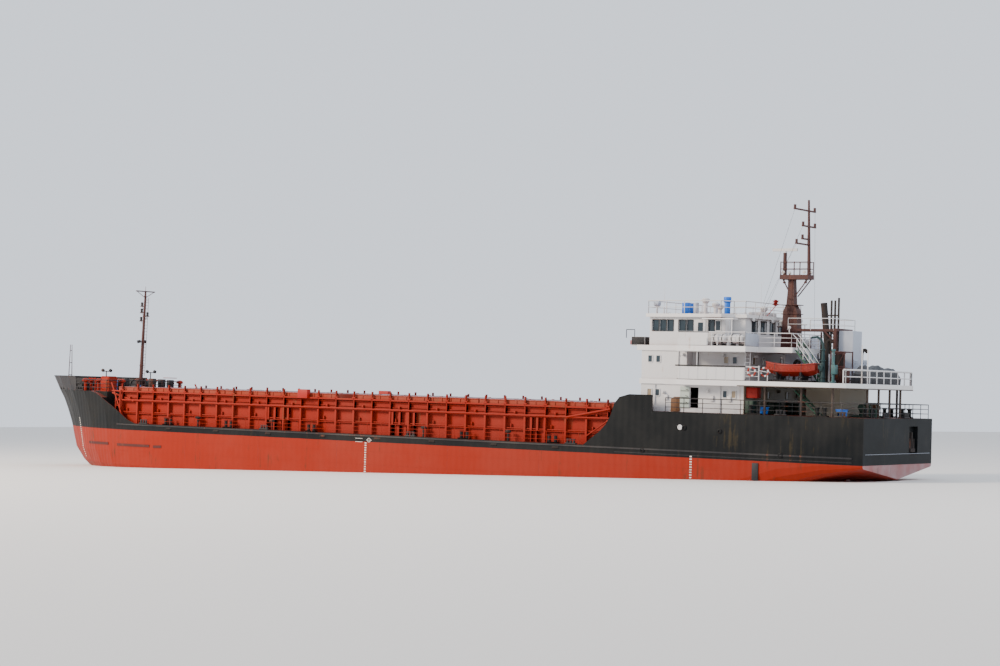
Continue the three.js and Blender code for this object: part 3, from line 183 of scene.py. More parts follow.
def enamel(name, paint, rust=0.3, dust=0.2, gloss=0.45, below=None, dent=0.3, rust_code="#6e3a22", deck=None,
           shine=0.28, recess_shade=None, worn=None):
    """Ship's enamel over steel. rust and dust say how much shows; below is a height and a second
    colour under it; dent is how wavy the plates are; deck is the colour of faces that look up; shine is
    the strength of the mirror-like part. recess_shade is painted shade: the darker colour of everything
    under the boat deck, aft. worn is the chalky colour of the second paint where the plates look astern."""
    made, tree = empty_material(name)
    place = add(tree, "ShaderNodeTexCoord").outputs["Object"]
    split = add(tree, "ShaderNodeSeparateXYZ", {0: place})
    colour = add(tree, "ShaderNodeRGB")
    colour.outputs[0].default_value = linear(paint)
    base = colour.outputs[0]
    if below:
        height, second = below
        wander = add(tree, "ShaderNodeTexNoise", {"Vector": place, "Scale": 6.0, "Detail": 3.0})
        edge = add(
            tree, "ShaderNodeMath", {0: wander.outputs[0], 1: 0.004, 2: split.outputs["Z"]}, operation="MULTIPLY_ADD"
        )
        under = add(tree, "ShaderNodeMath", {0: edge.outputs[0], 1: height + 0.002}, operation="LESS_THAN")
        base = add(
            tree, "ShaderNodeMix", {0: under.outputs[0], 6: base, 7: linear(second)}, data_type="RGBA"
        ).outputs[2]
    if worn:
        lean = add(tree, "ShaderNodeSeparateXYZ", {0: add(tree, "ShaderNodeTexCoord").outputs["Normal"]})
        astern = add(tree, "ShaderNodeMath", {0: lean.outputs["X"], 1: -0.35}, operation="LESS_THAN")
        both = add(tree, "ShaderNodeMath", {0: astern.outputs[0], 1: under.outputs[0]}, operation="MULTIPLY")
        part = add(tree, "ShaderNodeMath", {0: both.outputs[0], 1: wander.outputs[0]}, operation="MULTIPLY")
        base = add(
            tree, "ShaderNodeMix", {0: part.outputs[0], 6: base, 7: linear(worn)}, data_type="RGBA"
        ).outputs[2]
    if deck:
        lie = add(tree, "ShaderNodeSeparateXYZ", {0: add(tree, "ShaderNodeTexCoord").outputs["Normal"]})
        level = add(tree, "ShaderNodeMath", {0: lie.outputs["Z"], 1: 0.85}, operation="GREATER_THAN")
        base = add(
            tree, "ShaderNodeMix", {0: level.outputs[0], 6: base, 7: linear(deck)}, data_type="RGBA"
        ).outputs[2]
    # Painted shade: every face aft of the deckhouse and below the boat deck takes the darker recess colour.
    if recess_shade:
        aft = add(tree, "ShaderNodeMath", {0: split.outputs["X"], 1: -34.56 * M}, operation="LESS_THAN")
        low = add(tree, "ShaderNodeMath", {0: split.outputs["Z"], 1: 10.02 * M}, operation="LESS_THAN")
        both = add(tree, "ShaderNodeMath", {0: aft.outputs[0], 1: low.outputs[0]}, operation="MULTIPLY")
        base = add(
            tree, "ShaderNodeMix", {0: both.outputs[0], 6: base, 7: linear(recess_shade)}, data_type="RGBA"
        ).outputs[2]
    # Large soft patches: faded and dusty paint.
    cloud = add(tree, "ShaderNodeTexNoise", {"Vector": place, "Scale": 2.2, "Detail": 6.0, "Roughness": 0.62})
    faded = add(
        tree, "ShaderNodeMapRange", {0: cloud.outputs[0], 1: 0.42, 2: 0.72, 3: 0.0, 4: dust}
    )
    base = add(
        tree, "ShaderNodeMix", {0: faded.outputs[0], 6: base, 7: linear("#a39b90")}, data_type="RGBA"
    ).outputs[2]
    # Streaks 0.2 to 0.4 m wide and several metres long, which run down the plates.
    stretched = add(tree, "ShaderNodeMapping", {"Vector": place, "Scale": (34.0, 34.0, 2.6)})
    streak = add(
        tree, "ShaderNodeTexNoise", {"Vector": stretched.outputs[0], "Scale": 1.0, "Detail": 4.0, "Roughness": 0.6}
    )
    patch = add(tree, "ShaderNodeTexNoise", {"Vector": place, "Scale": 3.4, "Detail": 5.0, "Roughness": 0.7})
    where = add(tree, "ShaderNodeMath", {0: streak.outputs[0], 1: patch.outputs[0]}, operation="MULTIPLY")
    low = 0.36 - 0.14 * rust
    stain = add(
        tree, "ShaderNodeMapRange", {0: where.outputs[0], 1: low, 2: low + 0.09, 3: 0.0, 4: min(1.0, 0.35 + rust)}
    )
    base = add(
        tree, "ShaderNodeMix", {0: stain.outputs[0], 6: base, 7: linear(rust_code)}, data_type="RGBA"
    ).outputs[2]
    # Plates between frames 0.6 m apart are slightly hollow, and the brush leaves a fine texture.
    waves = add(
        tree, "ShaderNodeTexWave", {"Vector": place, "Scale": 5.2, "Distortion": 1.2, "Detail": 1.0}
    )
    brush = add(tree, "ShaderNodeTexNoise", {"Vector": place, "Scale": 260.0, "Detail": 2.0})
    hollow = add(tree, "ShaderNodeBump", {"Height": waves.outputs[1], "Strength": dent, "Distance": 0.0012})
    grain = add(
        tree,
        "ShaderNodeBump",
        {"Height": brush.outputs[0], "Strength": 0.25, "Distance": 0.0006, "Normal": hollow.outputs[0]},
    )
    rough = add(
        tree, "ShaderNodeMapRange", {0: cloud.outputs[0], 1: 0.3, 2: 0.75, 3: gloss, 4: min(0.95, gloss + 0.25)}
    )
    shader = add(
        tree,
        "ShaderNodeBsdfPrincipled",
        {"Base Color": base, "Roughness": rough.outputs[0], "Metallic": 0.0, "Normal": grain.outputs[0],
         "Specular IOR Level": shine},
    )
    add(tree, "ShaderNodeOutputMaterial", {"Surface": shader.outputs[0]})
    return made


PAINT_LINE = 4.4 * M
hull_enamel = enamel(
    "hull_enamel_black_over_red",
    "#0e1113",
    rust=0.26,
    dust=0.03,
    shine=0.12,
    gloss=0.40,
    below=(PAINT_LINE, "#86220f"),
    dent=0.8,
    deck="#5b2a22",
    rust_code="#38301f",
    worn="#a1979a",
)
# The deckhouse white gets a painted shade, beige-grey, under the boat deck, aft.
white_enamel = enamel("deckhouse_enamel_white", "#c6c5c5", rust=0.10, dust=0.10, gloss=0.4, rust_code="#9a6a48",
                      recess_shade="#8f8676")
# The deck edge white turns dark under the boat deck, aft: painted shade on the deck's underside, and the pillars' own
# dark brown.
deck_white_enamel = enamel(
    "deck_edge_enamel_white", "#d2d0cf", rust=0.12, dust=0.08, gloss=0.4, rust_code="#9a6a48", deck="#7a3a2c",
    recess_shade="#43352d",
)
orange_enamel = enamel("coaming_enamel_orange_red", "#851a04", rust=0.34, dust=0.05, gloss=0.5, dent=0.4, shine=0.16)
cover_enamel = enamel("cover_enamel_orange_grey_top", "#8a2c10", rust=0.3, dust=0.12, gloss=0.6, deck="#8d8792")
brown_enamel = enamel("mast_enamel_brown", "#41201c", rust=0.2, dust=0.05, gloss=0.45)
red_enamel = enamel("yard_enamel_red", "#96180f", rust=0.15, dust=0.04, gloss=0.45)
green_enamel = enamel("stair_enamel_green", "#1a4f3a", rust=0.2, dust=0.12, gloss=0.45)
teal_enamel = enamel("davit_enamel_teal", "#0f2d30", rust=0.15, dust=0.04, gloss=0.4)
# Grey-blue enamel. On the engine casing, which is white, the grey-blue is painted shade. On the searchlights, panels
# and the transom line it is their own grey.
grey_and_casing_shade_enamel = enamel("casing_enamel_grey_blue_painted_shade", "#a4aab6", rust=0.16, dust=0.15, gloss=0.45)
black_enamel = enamel("gear_enamel_black", "#1c1c20", rust=0.3, dust=0.12, gloss=0.5)
soot_enamel = enamel("exhaust_steel_sooty", "#231c1a", rust=0.45, dust=0.08, gloss=0.7)
blue_enamel = enamel("vent_enamel_blue", "#1f66c4", rust=0.08, dust=0.08, gloss=0.35)
boat_gelcoat = enamel("boat_gelcoat_orange", "#862012", rust=0.12, dust=0.1, gloss=0.3, dent=0.0)
rusty_red_enamel = enamel("strake_enamel_dark_red", "#45150f", rust=0.3, dust=0.05, gloss=0.5)
light_teal_enamel = enamel("davit_enamel_light_teal", "#345c5e", rust=0.15, dust=0.05, gloss=0.4)
mark_paint = enamel("mark_paint_white", "#d8d4cc", rust=0.25, dust=0.25, gloss=0.6, dent=0.0)
winch_enamel = enamel("winch_enamel_dark_green", "#1b352b", rust=0.35, dust=0.15, gloss=0.5)
door_enamel = enamel("door_enamel_grey_green", "#a9b4ac", rust=0.2, dust=0.1, gloss=0.4)
print("enamels:", len(bpy.data.materials))

# %% [markdown]
# ## Glass, tarpaulin and bronze
#
# Wheelhouse glass looks dark from outside, because the room behind it is dim and the pane mirrors the
# sky: a dark, very smooth surface shows that without a lit room. The stores aft lie under a PVC-coated
# tarpaulin, dull and creased. Propellers are cast bronze, ground smooth and then dulled by the water.

# %% Glass
window_glass, tree = empty_material("window_glass_dark")
place = add(tree, "ShaderNodeTexCoord").outputs["Object"]
smear = add(tree, "ShaderNodeTexNoise", {"Vector": place, "Scale": 18.0, "Detail": 3.0})
polish = add(tree, "ShaderNodeMapRange", {0: smear.outputs[0], 1: 0.3, 2: 0.8, 3: 0.03, 4: 0.16})
tint = add(
    tree, "ShaderNodeMix", {0: smear.outputs[0], 6: linear("#141d22"), 7: linear("#2b3a42")}, data_type="RGBA"
)
shader = add(
    tree, "ShaderNodeBsdfPrincipled", {"Base Color": tint.outputs[2], "Roughness": polish.outputs[0], "IOR": 1.52}
)
add(tree, "ShaderNodeOutputMaterial", {"Surface": shader.outputs[0]})

# %% Tarpaulin
tarpaulin, tree = empty_material("tarpaulin_pvc_coated")
place = add(tree, "ShaderNodeTexCoord").outputs["Object"]
creases = add(
    tree, "ShaderNodeTexNoise", {"Vector": place, "Scale": 26.0, "Detail": 5.0, "Roughness": 0.6, "Distortion": 0.8}
)
weave = add(tree, "ShaderNodeTexNoise", {"Vector": place, "Scale": 420.0, "Detail": 1.0})
# The colour follows the creases, darker in their hollows and lighter on their crests: painted shade and highlight of
# the folds.
crease_light_and_shade = add(
    tree, "ShaderNodeMix", {0: creases.outputs[0], 6: linear("#232428"), 7: linear("#43464b")}, data_type="RGBA"
)
folds = add(tree, "ShaderNodeBump", {"Height": creases.outputs[0], "Strength": 0.9, "Distance": 0.006})
cloth = add(
    tree,
    "ShaderNodeBump",
    {"Height": weave.outputs[0], "Strength": 0.3, "Distance": 0.0005, "Normal": folds.outputs[0]},
)
shader = add(
    tree, "ShaderNodeBsdfPrincipled", {"Base Color": crease_light_and_shade.outputs[2], "Roughness": 0.6, "Normal": cloth.outputs[0]}
)
add(tree, "ShaderNodeOutputMaterial", {"Surface": shader.outputs[0]})

# %% Wood and zinc
wood_planks, tree = empty_material("planks_of_pine")
place = add(tree, "ShaderNodeTexCoord").outputs["Object"]
drawn = add(tree, "ShaderNodeMapping", {"Vector": place, "Scale": (90.0, 90.0, 9.0)})
fibres = add(tree, "ShaderNodeTexNoise", {"Vector": drawn.outputs[0], "Scale": 3.0, "Detail": 5.0, "Roughness": 0.6})
tone = add(
    tree, "ShaderNodeMix", {0: fibres.outputs[0], 6: linear("#462b17"), 7: linear("#775131")}, data_type="RGBA"
)
grain = add(tree, "ShaderNodeBump", {"Height": fibres.outputs[0], "Strength": 0.4, "Distance": 0.0008})
shader = add(
    tree, "ShaderNodeBsdfPrincipled", {"Base Color": tone.outputs[2], "Roughness": 0.75, "Normal": grain.outputs[0]}
)
add(tree, "ShaderNodeOutputMaterial", {"Surface": shader.outputs[0]})

zinc_metal, tree = empty_material("zinc_dull")
place = add(tree, "ShaderNodeTexCoord").outputs["Object"]
bloom = add(tree, "ShaderNodeTexNoise", {"Vector": place, "Scale": 120.0, "Detail": 5.0, "Roughness": 0.7})
tone = add(
    tree, "ShaderNodeMix", {0: bloom.outputs[0], 6: linear("#70757a"), 7: linear("#a6abad")}, data_type="RGBA"
)
pits = add(tree, "ShaderNodeBump", {"Height": bloom.outputs[0], "Strength": 0.4, "Distance": 0.0006})
shader = add(
    tree,
    "ShaderNodeBsdfPrincipled",
    {"Base Color": tone.outputs[2], "Metallic": 0.7, "Roughness": 0.55, "Normal": pits.outputs[0]},
)
add(tree, "ShaderNodeOutputMaterial", {"Surface": shader.outputs[0]})

# %% Bronze
cast_bronze, tree = empty_material("propeller_bronze_cast")
place = add(tree, "ShaderNodeTexCoord").outputs["Object"]
tarnish = add(tree, "ShaderNodeTexNoise", {"Vector": place, "Scale": 30.0, "Detail": 6.0, "Roughness": 0.65})
metal = add(
    tree, "ShaderNodeMix", {0: tarnish.outputs[0], 6: linear("#7d5f2c"), 7: linear("#c09a52")}, data_type="RGBA"
)
rough = add(tree, "ShaderNodeMapRange", {0: tarnish.outputs[0], 1: 0.3, 2: 0.7, 3: 0.28, 4: 0.55})
pits = add(tree, "ShaderNodeBump", {"Height": tarnish.outputs[0], "Strength": 0.3, "Distance": 0.001})
shader = add(
    tree,
    "ShaderNodeBsdfPrincipled",
    {"Base Color": metal.outputs[2], "Roughness": rough.outputs[0], "Metallic": 1.0, "Normal": pits.outputs[0]},
)
add(tree, "ShaderNodeOutputMaterial", {"Surface": shader.outputs[0]})

# %% Studio floor
floor_paint, tree = empty_material("studio_floor_matt")
shader = add(tree, "ShaderNodeBsdfPrincipled", {"Base Color": linear("#d9d6d2"), "Roughness": 0.85})
add(tree, "ShaderNodeOutputMaterial", {"Surface": shader.outputs[0]})
floor.data.materials.append(floor_paint)
print("materials:", len(bpy.data.materials))

# %% [markdown]
# ## Painting the solids of the frame
#
# Each solid keeps its shape and takes one of the finishes. A short table from finish to solids is
# easier to check against the ship than one line for each of them. Decks look up and are another
# colour than the plates at their edges; the finish itself sees to that, by the way a face points.

# %% Finishes of the solids
finishes = {
    hull_enamel: ["hull_mid_body", "hull_fore_body", "hull_aft_body", "rudder_port", "rudder_starboard"],
    black_enamel: ["forecastle_bulwark", "windlass_frame", "windlass_drum", "boat_cradle"],
    soot_enamel: ["stern_anchor", "exhaust_pipes"],
    orange_enamel: ["forecastle_locker"] + [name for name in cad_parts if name.startswith("coaming_")],
    cover_enamel: [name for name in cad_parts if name.endswith("_panel")],
    deck_white_enamel: ["boat_deck", "bridge_deck", "wheelhouse_roof"],
    white_enamel: [
        "deckhouse_tier_1", "deckhouse_tier_2", "wheelhouse", "wheelhouse_door_port", "wheelhouse_door_starboard",
        "radar_scanner", "casing_trunk",
    ],
    brown_enamel: [
        "foremast_tabernacle", "foremast", "portal_frame", "main_mast", "bow_light_mast", "hose_reel",
    ],
    green_enamel: ["poop_stair", "bridge_stair"],
    winch_enamel: ["mooring_winch_frame", "mooring_winch_drum"],
    door_enamel: ["poop_door_port"],
    teal_enamel: ["boat_davit"],
    # The white engine casing takes the grey-blue: painted shade.
    grey_and_casing_shade_enamel: ["engine_casing"],
    boat_gelcoat: ["work_boat"],
    tarpaulin: ["covered_stores"],
    window_glass: ["wheelhouse_glazing"],
    cast_bronze: ["propeller_port", "propeller_starboard"],
}
for finish, names in finishes.items():
    for name in names:
        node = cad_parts[name]
        node.data.materials.clear()
        node.data.materials.append(finish)
print("solids painted:", sum(len(names) for names in finishes.values()))

# %% [markdown]
# ## Tools for round bars and blocks
#
# Railings, stays and pipes are all round steel between two points, so one helper turns a cone
# primitive to lie between them. A second one makes a block with softened edges. Every finished piece
# is one mesh in a plain object at the origin, which rides on the body that carries it.

# %% Bars, blocks and finished pieces


def tube(bm, start, end, radius, sides=8, end_radius=None):
    """A round bar between two points."""
    start, end = Vector(start), Vector(end)
    along = end - start
    place = Matrix.Translation((start + end) / 2) @ along.to_track_quat("Z", "Y").to_matrix().to_4x4()
    tip = radius if end_radius is None else end_radius
    bmesh.ops.create_cone(
        bm, cap_ends=True, segments=sides, radius1=radius, radius2=tip, depth=along.length, matrix=place
    )


def block(bm, low, high, soft=0.0):
    """A box between two corners, with bevelled edges if soft is given."""
    low, high = Vector(low), Vector(high)
    shape = Matrix.Translation((low + high) / 2) @ Matrix.Diagonal((*(high - low), 1.0))
    verts = bmesh.ops.create_cube(bm, size=1.0, matrix=shape)["verts"]
    if soft:
        edges = list({edge for vert in verts for edge in vert.link_edges})
        bmesh.ops.bevel(
            bm, geom=edges, offset=soft, segments=2, profile=0.5, affect="EDGES", material=-1, clamp_overlap=True
        )


def finish_piece(bm, name, material, body=SHIP, replaced=(), smooth=True):
    """Turns a bmesh into a named piece that rides on a body."""
    mesh = bpy.data.meshes.new(name)
    bm.to_mesh(mesh)
    bm.free()
    mesh.materials.append(material)
    if smooth:
        mesh.shade_smooth()
        mesh.set_sharp_from_angle(angle=math.radians(40))
    piece = bpy.data.objects.new(name, mesh)
    bpy.context.scene.collection.objects.link(piece)
    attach(piece, body)
    for node in replaced:
        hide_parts(node)
    print(f"{name}: {len(mesh.polygons)} faces")
    return piece


# %% [markdown]
# ## Railings
#
# A ship's railing is stanchions every metre and a half with two or three courses of round bar through
# them. A route of corners is walked once: the bars run from corner to corner, and the stanchions are
# shared out evenly along each stretch.

# %% Railings
MAIN_DECK, POOP_DECK, BOAT_DECK, BRIDGE_DECK, ROOF = (h * M for h in (5.0, 7.85, 10.35, 12.95, 15.41))
DECK_GAP = 0.0003  # the frame's clearance between touching solids


def railing(name, route, deck, material, replaced=(), courses=3, height=1.05, step=1.5, thick=0.028):
    """Stanchions and courses along a route of corners, given in metres of the real ship."""
    bm = bmesh.new()
    z = deck + DECK_GAP
    corners = [Vector((x * M, y * M, z)) for x, y in route]
    rise = Vector((0, 0, height * M))
    radius = thick * M
    for start, end in zip(corners, corners[1:]):
        count = max(1, round((end - start).length / (step * M)))
        for k in range(count + 1):
            foot = start.lerp(end, k / count)
            tube(bm, foot, foot + rise, radius, sides=6)
        for k in range(1, courses + 1):
            lift = rise * (k / courses)
            tube(bm, start + lift, end + lift, radius * (1.25 if k == courses else 0.8), sides=6)
    return finish_piece(bm, name, material, replaced=replaced)


def mirrored(route):
    """A route down one side, across and back up the other side."""
    return route + [(x, -y) for x, y in reversed(route)]


EDGE_IN = 0.12
railing(
    "rails_forecastle",
    mirrored([(36.9, 4.85), (35.4, 5.3), (34.4, 5.55), (32.6, 5.1)]),
    POOP_DECK,
    black_enamel,
    ["forecastle_rails"],
)
railing(
    "rails_poop",
    mirrored([(-28.3, 6.43), (-38.0, 6.38), (-44.55, 5.98)]),
    POOP_DECK,
    black_enamel,
    ["poop_rails"],
)
boat_deck_aft = mirrored([(-42.95, 6.07), (-43.1, 5.98), (-43.72, 4.48)])
bridge_half = [(-29.42, 5.58), (-29.42, 6.58), (-35.08, 6.58), (-35.08, 4.58), (-37.96, 4.58)]
bridge_route = mirrored(bridge_half)
roof_route = mirrored([(-26.15, 5.68), (-32.5, 5.68), (-33.1, 4.68), (-34.1, 4.68)])
railing("rails_boat_deck_aft", boat_deck_aft, BOAT_DECK, white_enamel, ["boat_deck_rails"], 2, 1.0, 1.3, 0.05)
railing("rails_boat_deck_port", [(-29.42, 6.58), (-36.3, 6.58)], BOAT_DECK, white_enamel)
railing("rails_boat_deck_starboard", [(-29.42, -6.58), (-36.3, -6.58)], BOAT_DECK, white_enamel)
railing("rails_bridge", bridge_route, BRIDGE_DECK, white_enamel, ["bridge_rails"])
railing("rails_roof", roof_route + roof_route[:1], ROOF, white_enamel, ["roof_rails"], courses=2, height=1.0)

# %% [markdown]
# ## More shapes: plates, turned parts and windows
#
# Most small fittings are one of four things. A bracket is a flat plate with an outline, a lamp or a
# vent is an outline turned round an axis, a drum is a short cylinder with softened rims, and a port is
# a rounded rim with a pane set back in it. A unit is built once in its own small mesh and then stamped
# wherever it belongs.

# %% Plates, turned parts and drums


def at(x, y, z):
    """A point in metres of the real ship."""
    return Vector((x, y, z)) * M


def facing(point, normal):
    """A place on a surface: its Z points out of the surface, its Y is up."""
    out = Vector(normal).normalized()
    side = Vector((0, 0, 1)).cross(out).normalized()
    return Matrix.Translation(point) @ Matrix((side, out.cross(side), out)).transposed().to_4x4()


def plate(bm, outline, place, thick):
    """A flat plate with this outline in metres of the real ship."""
    face = bm.faces.new([bm.verts.new(place @ Vector((x * M, y * M, 0.0))) for x, y in outline])
    grown = bmesh.ops.extrude_face_region(bm, geom=[face])["geom"]
    lift = place.to_3x3() @ Vector((0.0, 0.0, thick * M))
    bmesh.ops.translate(bm, vec=lift, verts=[item for item in grown if isinstance(item, bmesh.types.BMVert)])


def turned(bm, outline, place, steps=16, closed=False):
    """Spins an outline of radii and heights, in metres of the real ship, round the place's Z."""
    verts = [bm.verts.new(place @ Vector((r * M, 0.0, h * M))) for r, h in outline]
    pairs = list(zip(verts, verts[1:])) + ([(verts[-1], verts[0])] if closed else [])
    edges = [bm.edges.new(pair) for pair in pairs]
    bmesh.ops.spin(
        bm,
        geom=verts + edges,
        cent=place.translation,
        axis=place.to_3x3() @ Vector((0.0, 0.0, 1.0)),
        angle=math.tau,
        steps=steps,
        use_merge=True,
    )


def drum(bm, start, end, radius, sides=16, soft=0.2):
    """A closed cylinder with softened rims; soft is a share of the radius."""
    start, end = Vector(start), Vector(end)
    along = end - start
    place = Matrix.Translation(start) @ along.to_track_quat("Z", "Y").to_matrix().to_4x4()
    r, length, s = radius / M, along.length / M, radius * soft / M
    outline = [(0, 0), (r - s, 0), (r - 0.3 * s, 0.3 * s), (r, s), (r, length - s)]
    outline += [(r - 0.3 * s, length - 0.3 * s), (r - s, length), (0, length)]
    turned(bm, outline, place, sides)


def stamp(bm, unit, place):
    """Adds a copy of a unit at a place."""
    mesh = bpy.data.meshes.new("stamp")
    unit.to_mesh(mesh)
    mesh.transform(place)
    bm.from_mesh(mesh)
    bpy.data.meshes.remove(mesh)


def close_up(bm):
    """Merges doubled points and points every face outwards."""
    bmesh.ops.remove_doubles(bm, verts=bm.verts, dist=2e-6)
    bmesh.ops.recalc_face_normals(bm, faces=bm.faces)


print("shapes ready: plate, turned, drum, stamp")

# %% A port with its rim and pane
RIM, PANE = 0, 1  # material slots of a port


def port_unit(width, height, corner, rim=0.06, proud=0.05):
    """A closed unit that lies on a wall: rim with rounded corners, pane set back."""
    unit = bmesh.new()
    bmesh.ops.create_grid(unit, x_segments=1, y_segments=1, size=0.5)
    bmesh.ops.scale(unit, vec=(width * M, height * M, 1.0), verts=unit.verts)
    bmesh.ops.bevel(
        unit, geom=unit.verts[:], offset=corner * M, segments=4, profile=0.5, affect="VERTICES", material=-1
    )
    grown = bmesh.ops.extrude_face_region(unit, geom=unit.faces[:])["geom"]
    front = [item for item in grown if isinstance(item, bmesh.types.BMFace)]
    verts = [item for item in grown if isinstance(item, bmesh.types.BMVert)]
    bmesh.ops.translate(unit, vec=(0.0, 0.0, proud * M), verts=verts)
    bmesh.ops.inset_region(unit, faces=front, thickness=rim * M)
    inner = bmesh.ops.extrude_face_region(unit, geom=front)["geom"]
    pane = [item for item in inner if isinstance(item, bmesh.types.BMFace)]
    verts = [item for item in inner if isinstance(item, bmesh.types.BMVert)]
    bmesh.ops.delete(unit, geom=front, context="FACES_ONLY")
    bmesh.ops.translate(unit, vec=(0.0, 0.0, -0.035 * M), verts=verts)
    for face in pane:
        face.material_index = PANE
    return unit


print("a port has", len(port_unit(0.42, 0.55, 0.12).faces), "faces")

# %% [markdown]
# ## Along the hatch coamings
#
# The coaming is a wall of plate a waist high above the deck, stiffened by stays. On the ship every stay
# ends in a flange, short lugs for the cover's cleats stand above the edge, and hydraulic pipes run the
# whole length. These small repeats are what makes the side look busy, so they come from one table of
# places along the ship.

# %% Stays, lugs and pipes of the coamings
STAYS = [-22.7 + 1.95 * k for k in range(28)]
EXTRA_STAYS = [9.95, 10.7, 11.45, 12.2, -1.5, -2.25, -3.0, -3.75, -15.5, -16.1]
COAMING_OUT = 5.4  # outer face of the coaming plate
STAY_OUT = 5.74

for side, s in (("port", 1), ("starboard", -1)):
    bm = bmesh.new()
    for x in STAYS:
        block(bm, at(x - 0.09, s * (STAY_OUT + 0.003), 5.02), at(x + 0.09, s * (STAY_OUT + 0.03), 7.0))
        block(bm, at(x - 0.06, s * 5.62, 7.88), at(x + 0.06, s * 5.76, 8.62), 0.02 * M)
        block(bm, at(x - 0.17, s * 5.6, 8.0), at(x + 0.17, s * 5.8, 8.12), 0.01 * M)
        across = facing(at(x - 0.03, s * COAMING_OUT, 7.08), (1, 0, 0))
        plate(bm, [(s * y, z) for y, z in [(0.0, 0.0), (0.3, 0.0), (0.19, 0.76), (0.0, 0.76)]], across, 0.05)
    for x in EXTRA_STAYS:
        block(bm, at(x - 0.04, s * 5.41, 5.02), at(x + 0.04, s * 5.66, 5.9))
        block(bm, at(x - 0.04, s * 5.41, 5.97), at(x + 0.04, s * 5.7, 7.0))
        block(bm, at(x - 0.1, s * 5.68, 5.97), at(x + 0.1, s * 5.72, 6.98))
    close_up(bm)
    finish_piece(bm, "coaming_stays_" + side, orange_enamel, smooth=False)

    bm = bmesh.new()
    for y, z, r in [(5.8, 7.13, 0.075), (5.5, 7.22, 0.05), (5.5, 7.36, 0.035), (5.62, 6.06, 0.045), (5.5, 7.74, 0.04)]:
        tube(bm, at(-22.9, s * y, z), at(30.3, s * y, z), r * M, sides=8)
    for x in STAYS[1::2]:
        block(bm, at(x - 1.0, s * 5.45, 7.28), at(x - 0.85, s * 5.72, 7.44), 0.01 * M)
        drum(bm, at(x - 0.5, s * 5.52, 6.1), at(x - 0.5, s * 5.52, 6.42), 0.07 * M, 10)
    # Ends of the coaming: a raking arm aft and struts forward.
    tube(bm, at(-18.9, s * 5.84, 7.1), at(-23.0, s * 5.84, 7.86), 0.09 * M)
    tube(bm, at(-20.9, s * 5.84, 5.7), at(-22.9, s * 5.84, 7.0), 0.06 * M)
    tube(bm, at(28.3, s * 5.84, 7.05), at(31.9, s * 5.0, 7.75), 0.09 * M)
    tube(bm, at(30.5, s * 5.3, 7.8), at(31.9, s * 4.9, 5.6), 0.08 * M)
    close_up(bm)
    finish_piece(bm, "coaming_pipes_" + side, orange_enamel)

# %% Handrails on the side decks
for side, s in (("port", 1), ("starboard", -1)):
    route = [(-20.6, s * 6.56), (24.6, s * 6.56), (27.2, s * 6.3)]
    railing("side_deck_rails_" + side, route, MAIN_DECK, orange_enamel, height=0.95, step=1.5, thick=0.02)

# %% Deck gear beside the hatches
bm = bmesh.new()
for s in (1, -1):
    for x in (-17.8, -9.2, 7.0, 16.5, 23.8):  # bitts: two posts on a common foot
        block(bm, at(x - 0.55, s * 6.02 - 0.2, 5.003), at(x + 0.55, s * 6.02 + 0.2, 5.1), 0.02 * M)
        for step in (-0.3, 0.3):
            drum(bm, at(x + step, s * 6.02, 5.08), at(x + step, s * 6.02, 5.62), 0.14 * M, 14)
            drum(bm, at(x + step, s * 6.02, 5.6), at(x + step, s * 6.02, 5.68), 0.19 * M, 14)
    for x in (-13.5, -5.0, 11.5, 20.2):  # mushroom vents and sounding pipes
        drum(bm, at(x, s * 5.98, 5.003), at(x, s * 5.98, 5.75), 0.09 * M, 12)
        turned(bm, [(0, 0), (0.24, 0), (0.26, 0.1), (0.15, 0.2), (0, 0.23)], Matrix.Translation(at(x, s * 5.98, 5.7)), 14)
close_up(bm)
finish_piece(bm, "side_deck_gear", soot_enamel)

bm = bmesh.new()
for s in (1, -1):
    low, high = sorted((s * 5.53, s * 5.99))
    block(bm, at(7.61, low, 7.88), at(8.7, high, 8.65), 0.03 * M)
    block(bm, at(-24.95, s * 4.9 - 0.35, 5.01), at(-24.0, s * 4.9 + 0.35, 8.6), 0.04 * M)
    block(bm, at(-24.75, s * 2.6 - 0.5, 5.01), at(-24.05, s * 2.6 + 0.5, 8.1), 0.04 * M)
close_up(bm)
finish_piece(bm, "hatch_control_cabinets", red_enamel)

# %% [markdown]
# ## Hatch covers
#
# The panels are pontoons: a flat top that sheds water, with seams and lifting pads, and a deep side with
# stiffeners. What is added to a panel rides on it, and folds with it.

# %% Ribs and seams of the covers
PANELS = [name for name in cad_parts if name.endswith("_panel")]
for name in PANELS:
    low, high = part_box(name)
    bm = bmesh.new()
    span = high[0] - low[0]
    count = round(span / (0.98 * M))
    for k in range(1, count):
        x = low[0] + span * k / count
        for s in (1, -1):
            y = s * high[1]
            block(bm, (x - 0.03 * M, y, low[2] + 0.05 * M), (x + 0.03 * M, y + s * 0.05 * M, high[2] - 0.03 * M))
    for s in (1, -1):
        y = s * high[1]
        block(bm, (low[0] + 0.05 * M, y, high[2] - 0.06 * M), (high[0] - 0.05 * M, y + s * 0.06 * M, high[2] - 0.01 * M))
    for k in range(1, 4):  # welded seams and lifting pads on top
        x = low[0] + span * k / 4
        block(bm, (x - 0.02 * M, low[1] + 0.3 * M, high[2] - 0.01 * M), (x + 0.02 * M, high[1] - 0.3 * M, high[2] + 0.012 * M))
    for k in (0.2, 0.8):
        for y in (-3.6, 0.0, 3.6):
            x = low[0] + span * k
            drum(bm, (x, y * M, high[2] - 0.01 * M), (x, y * M, high[2] + 0.06 * M), 0.13 * M, 12)
    close_up(bm)
    finish_piece(bm, name + "_ribs", cover_enamel, body=name, smooth=False)

# %% [markdown]
# ## Ports, windows and doors of the deckhouse
#
# Ship's windows are small, with rounded corners and a bolted rim, and many have a curtain drawn behind
# the glass, which makes some panes pale and some dark. A table gives the middle of each port. In the
# wheelhouse the openings are real, so only a rim goes round each of them.

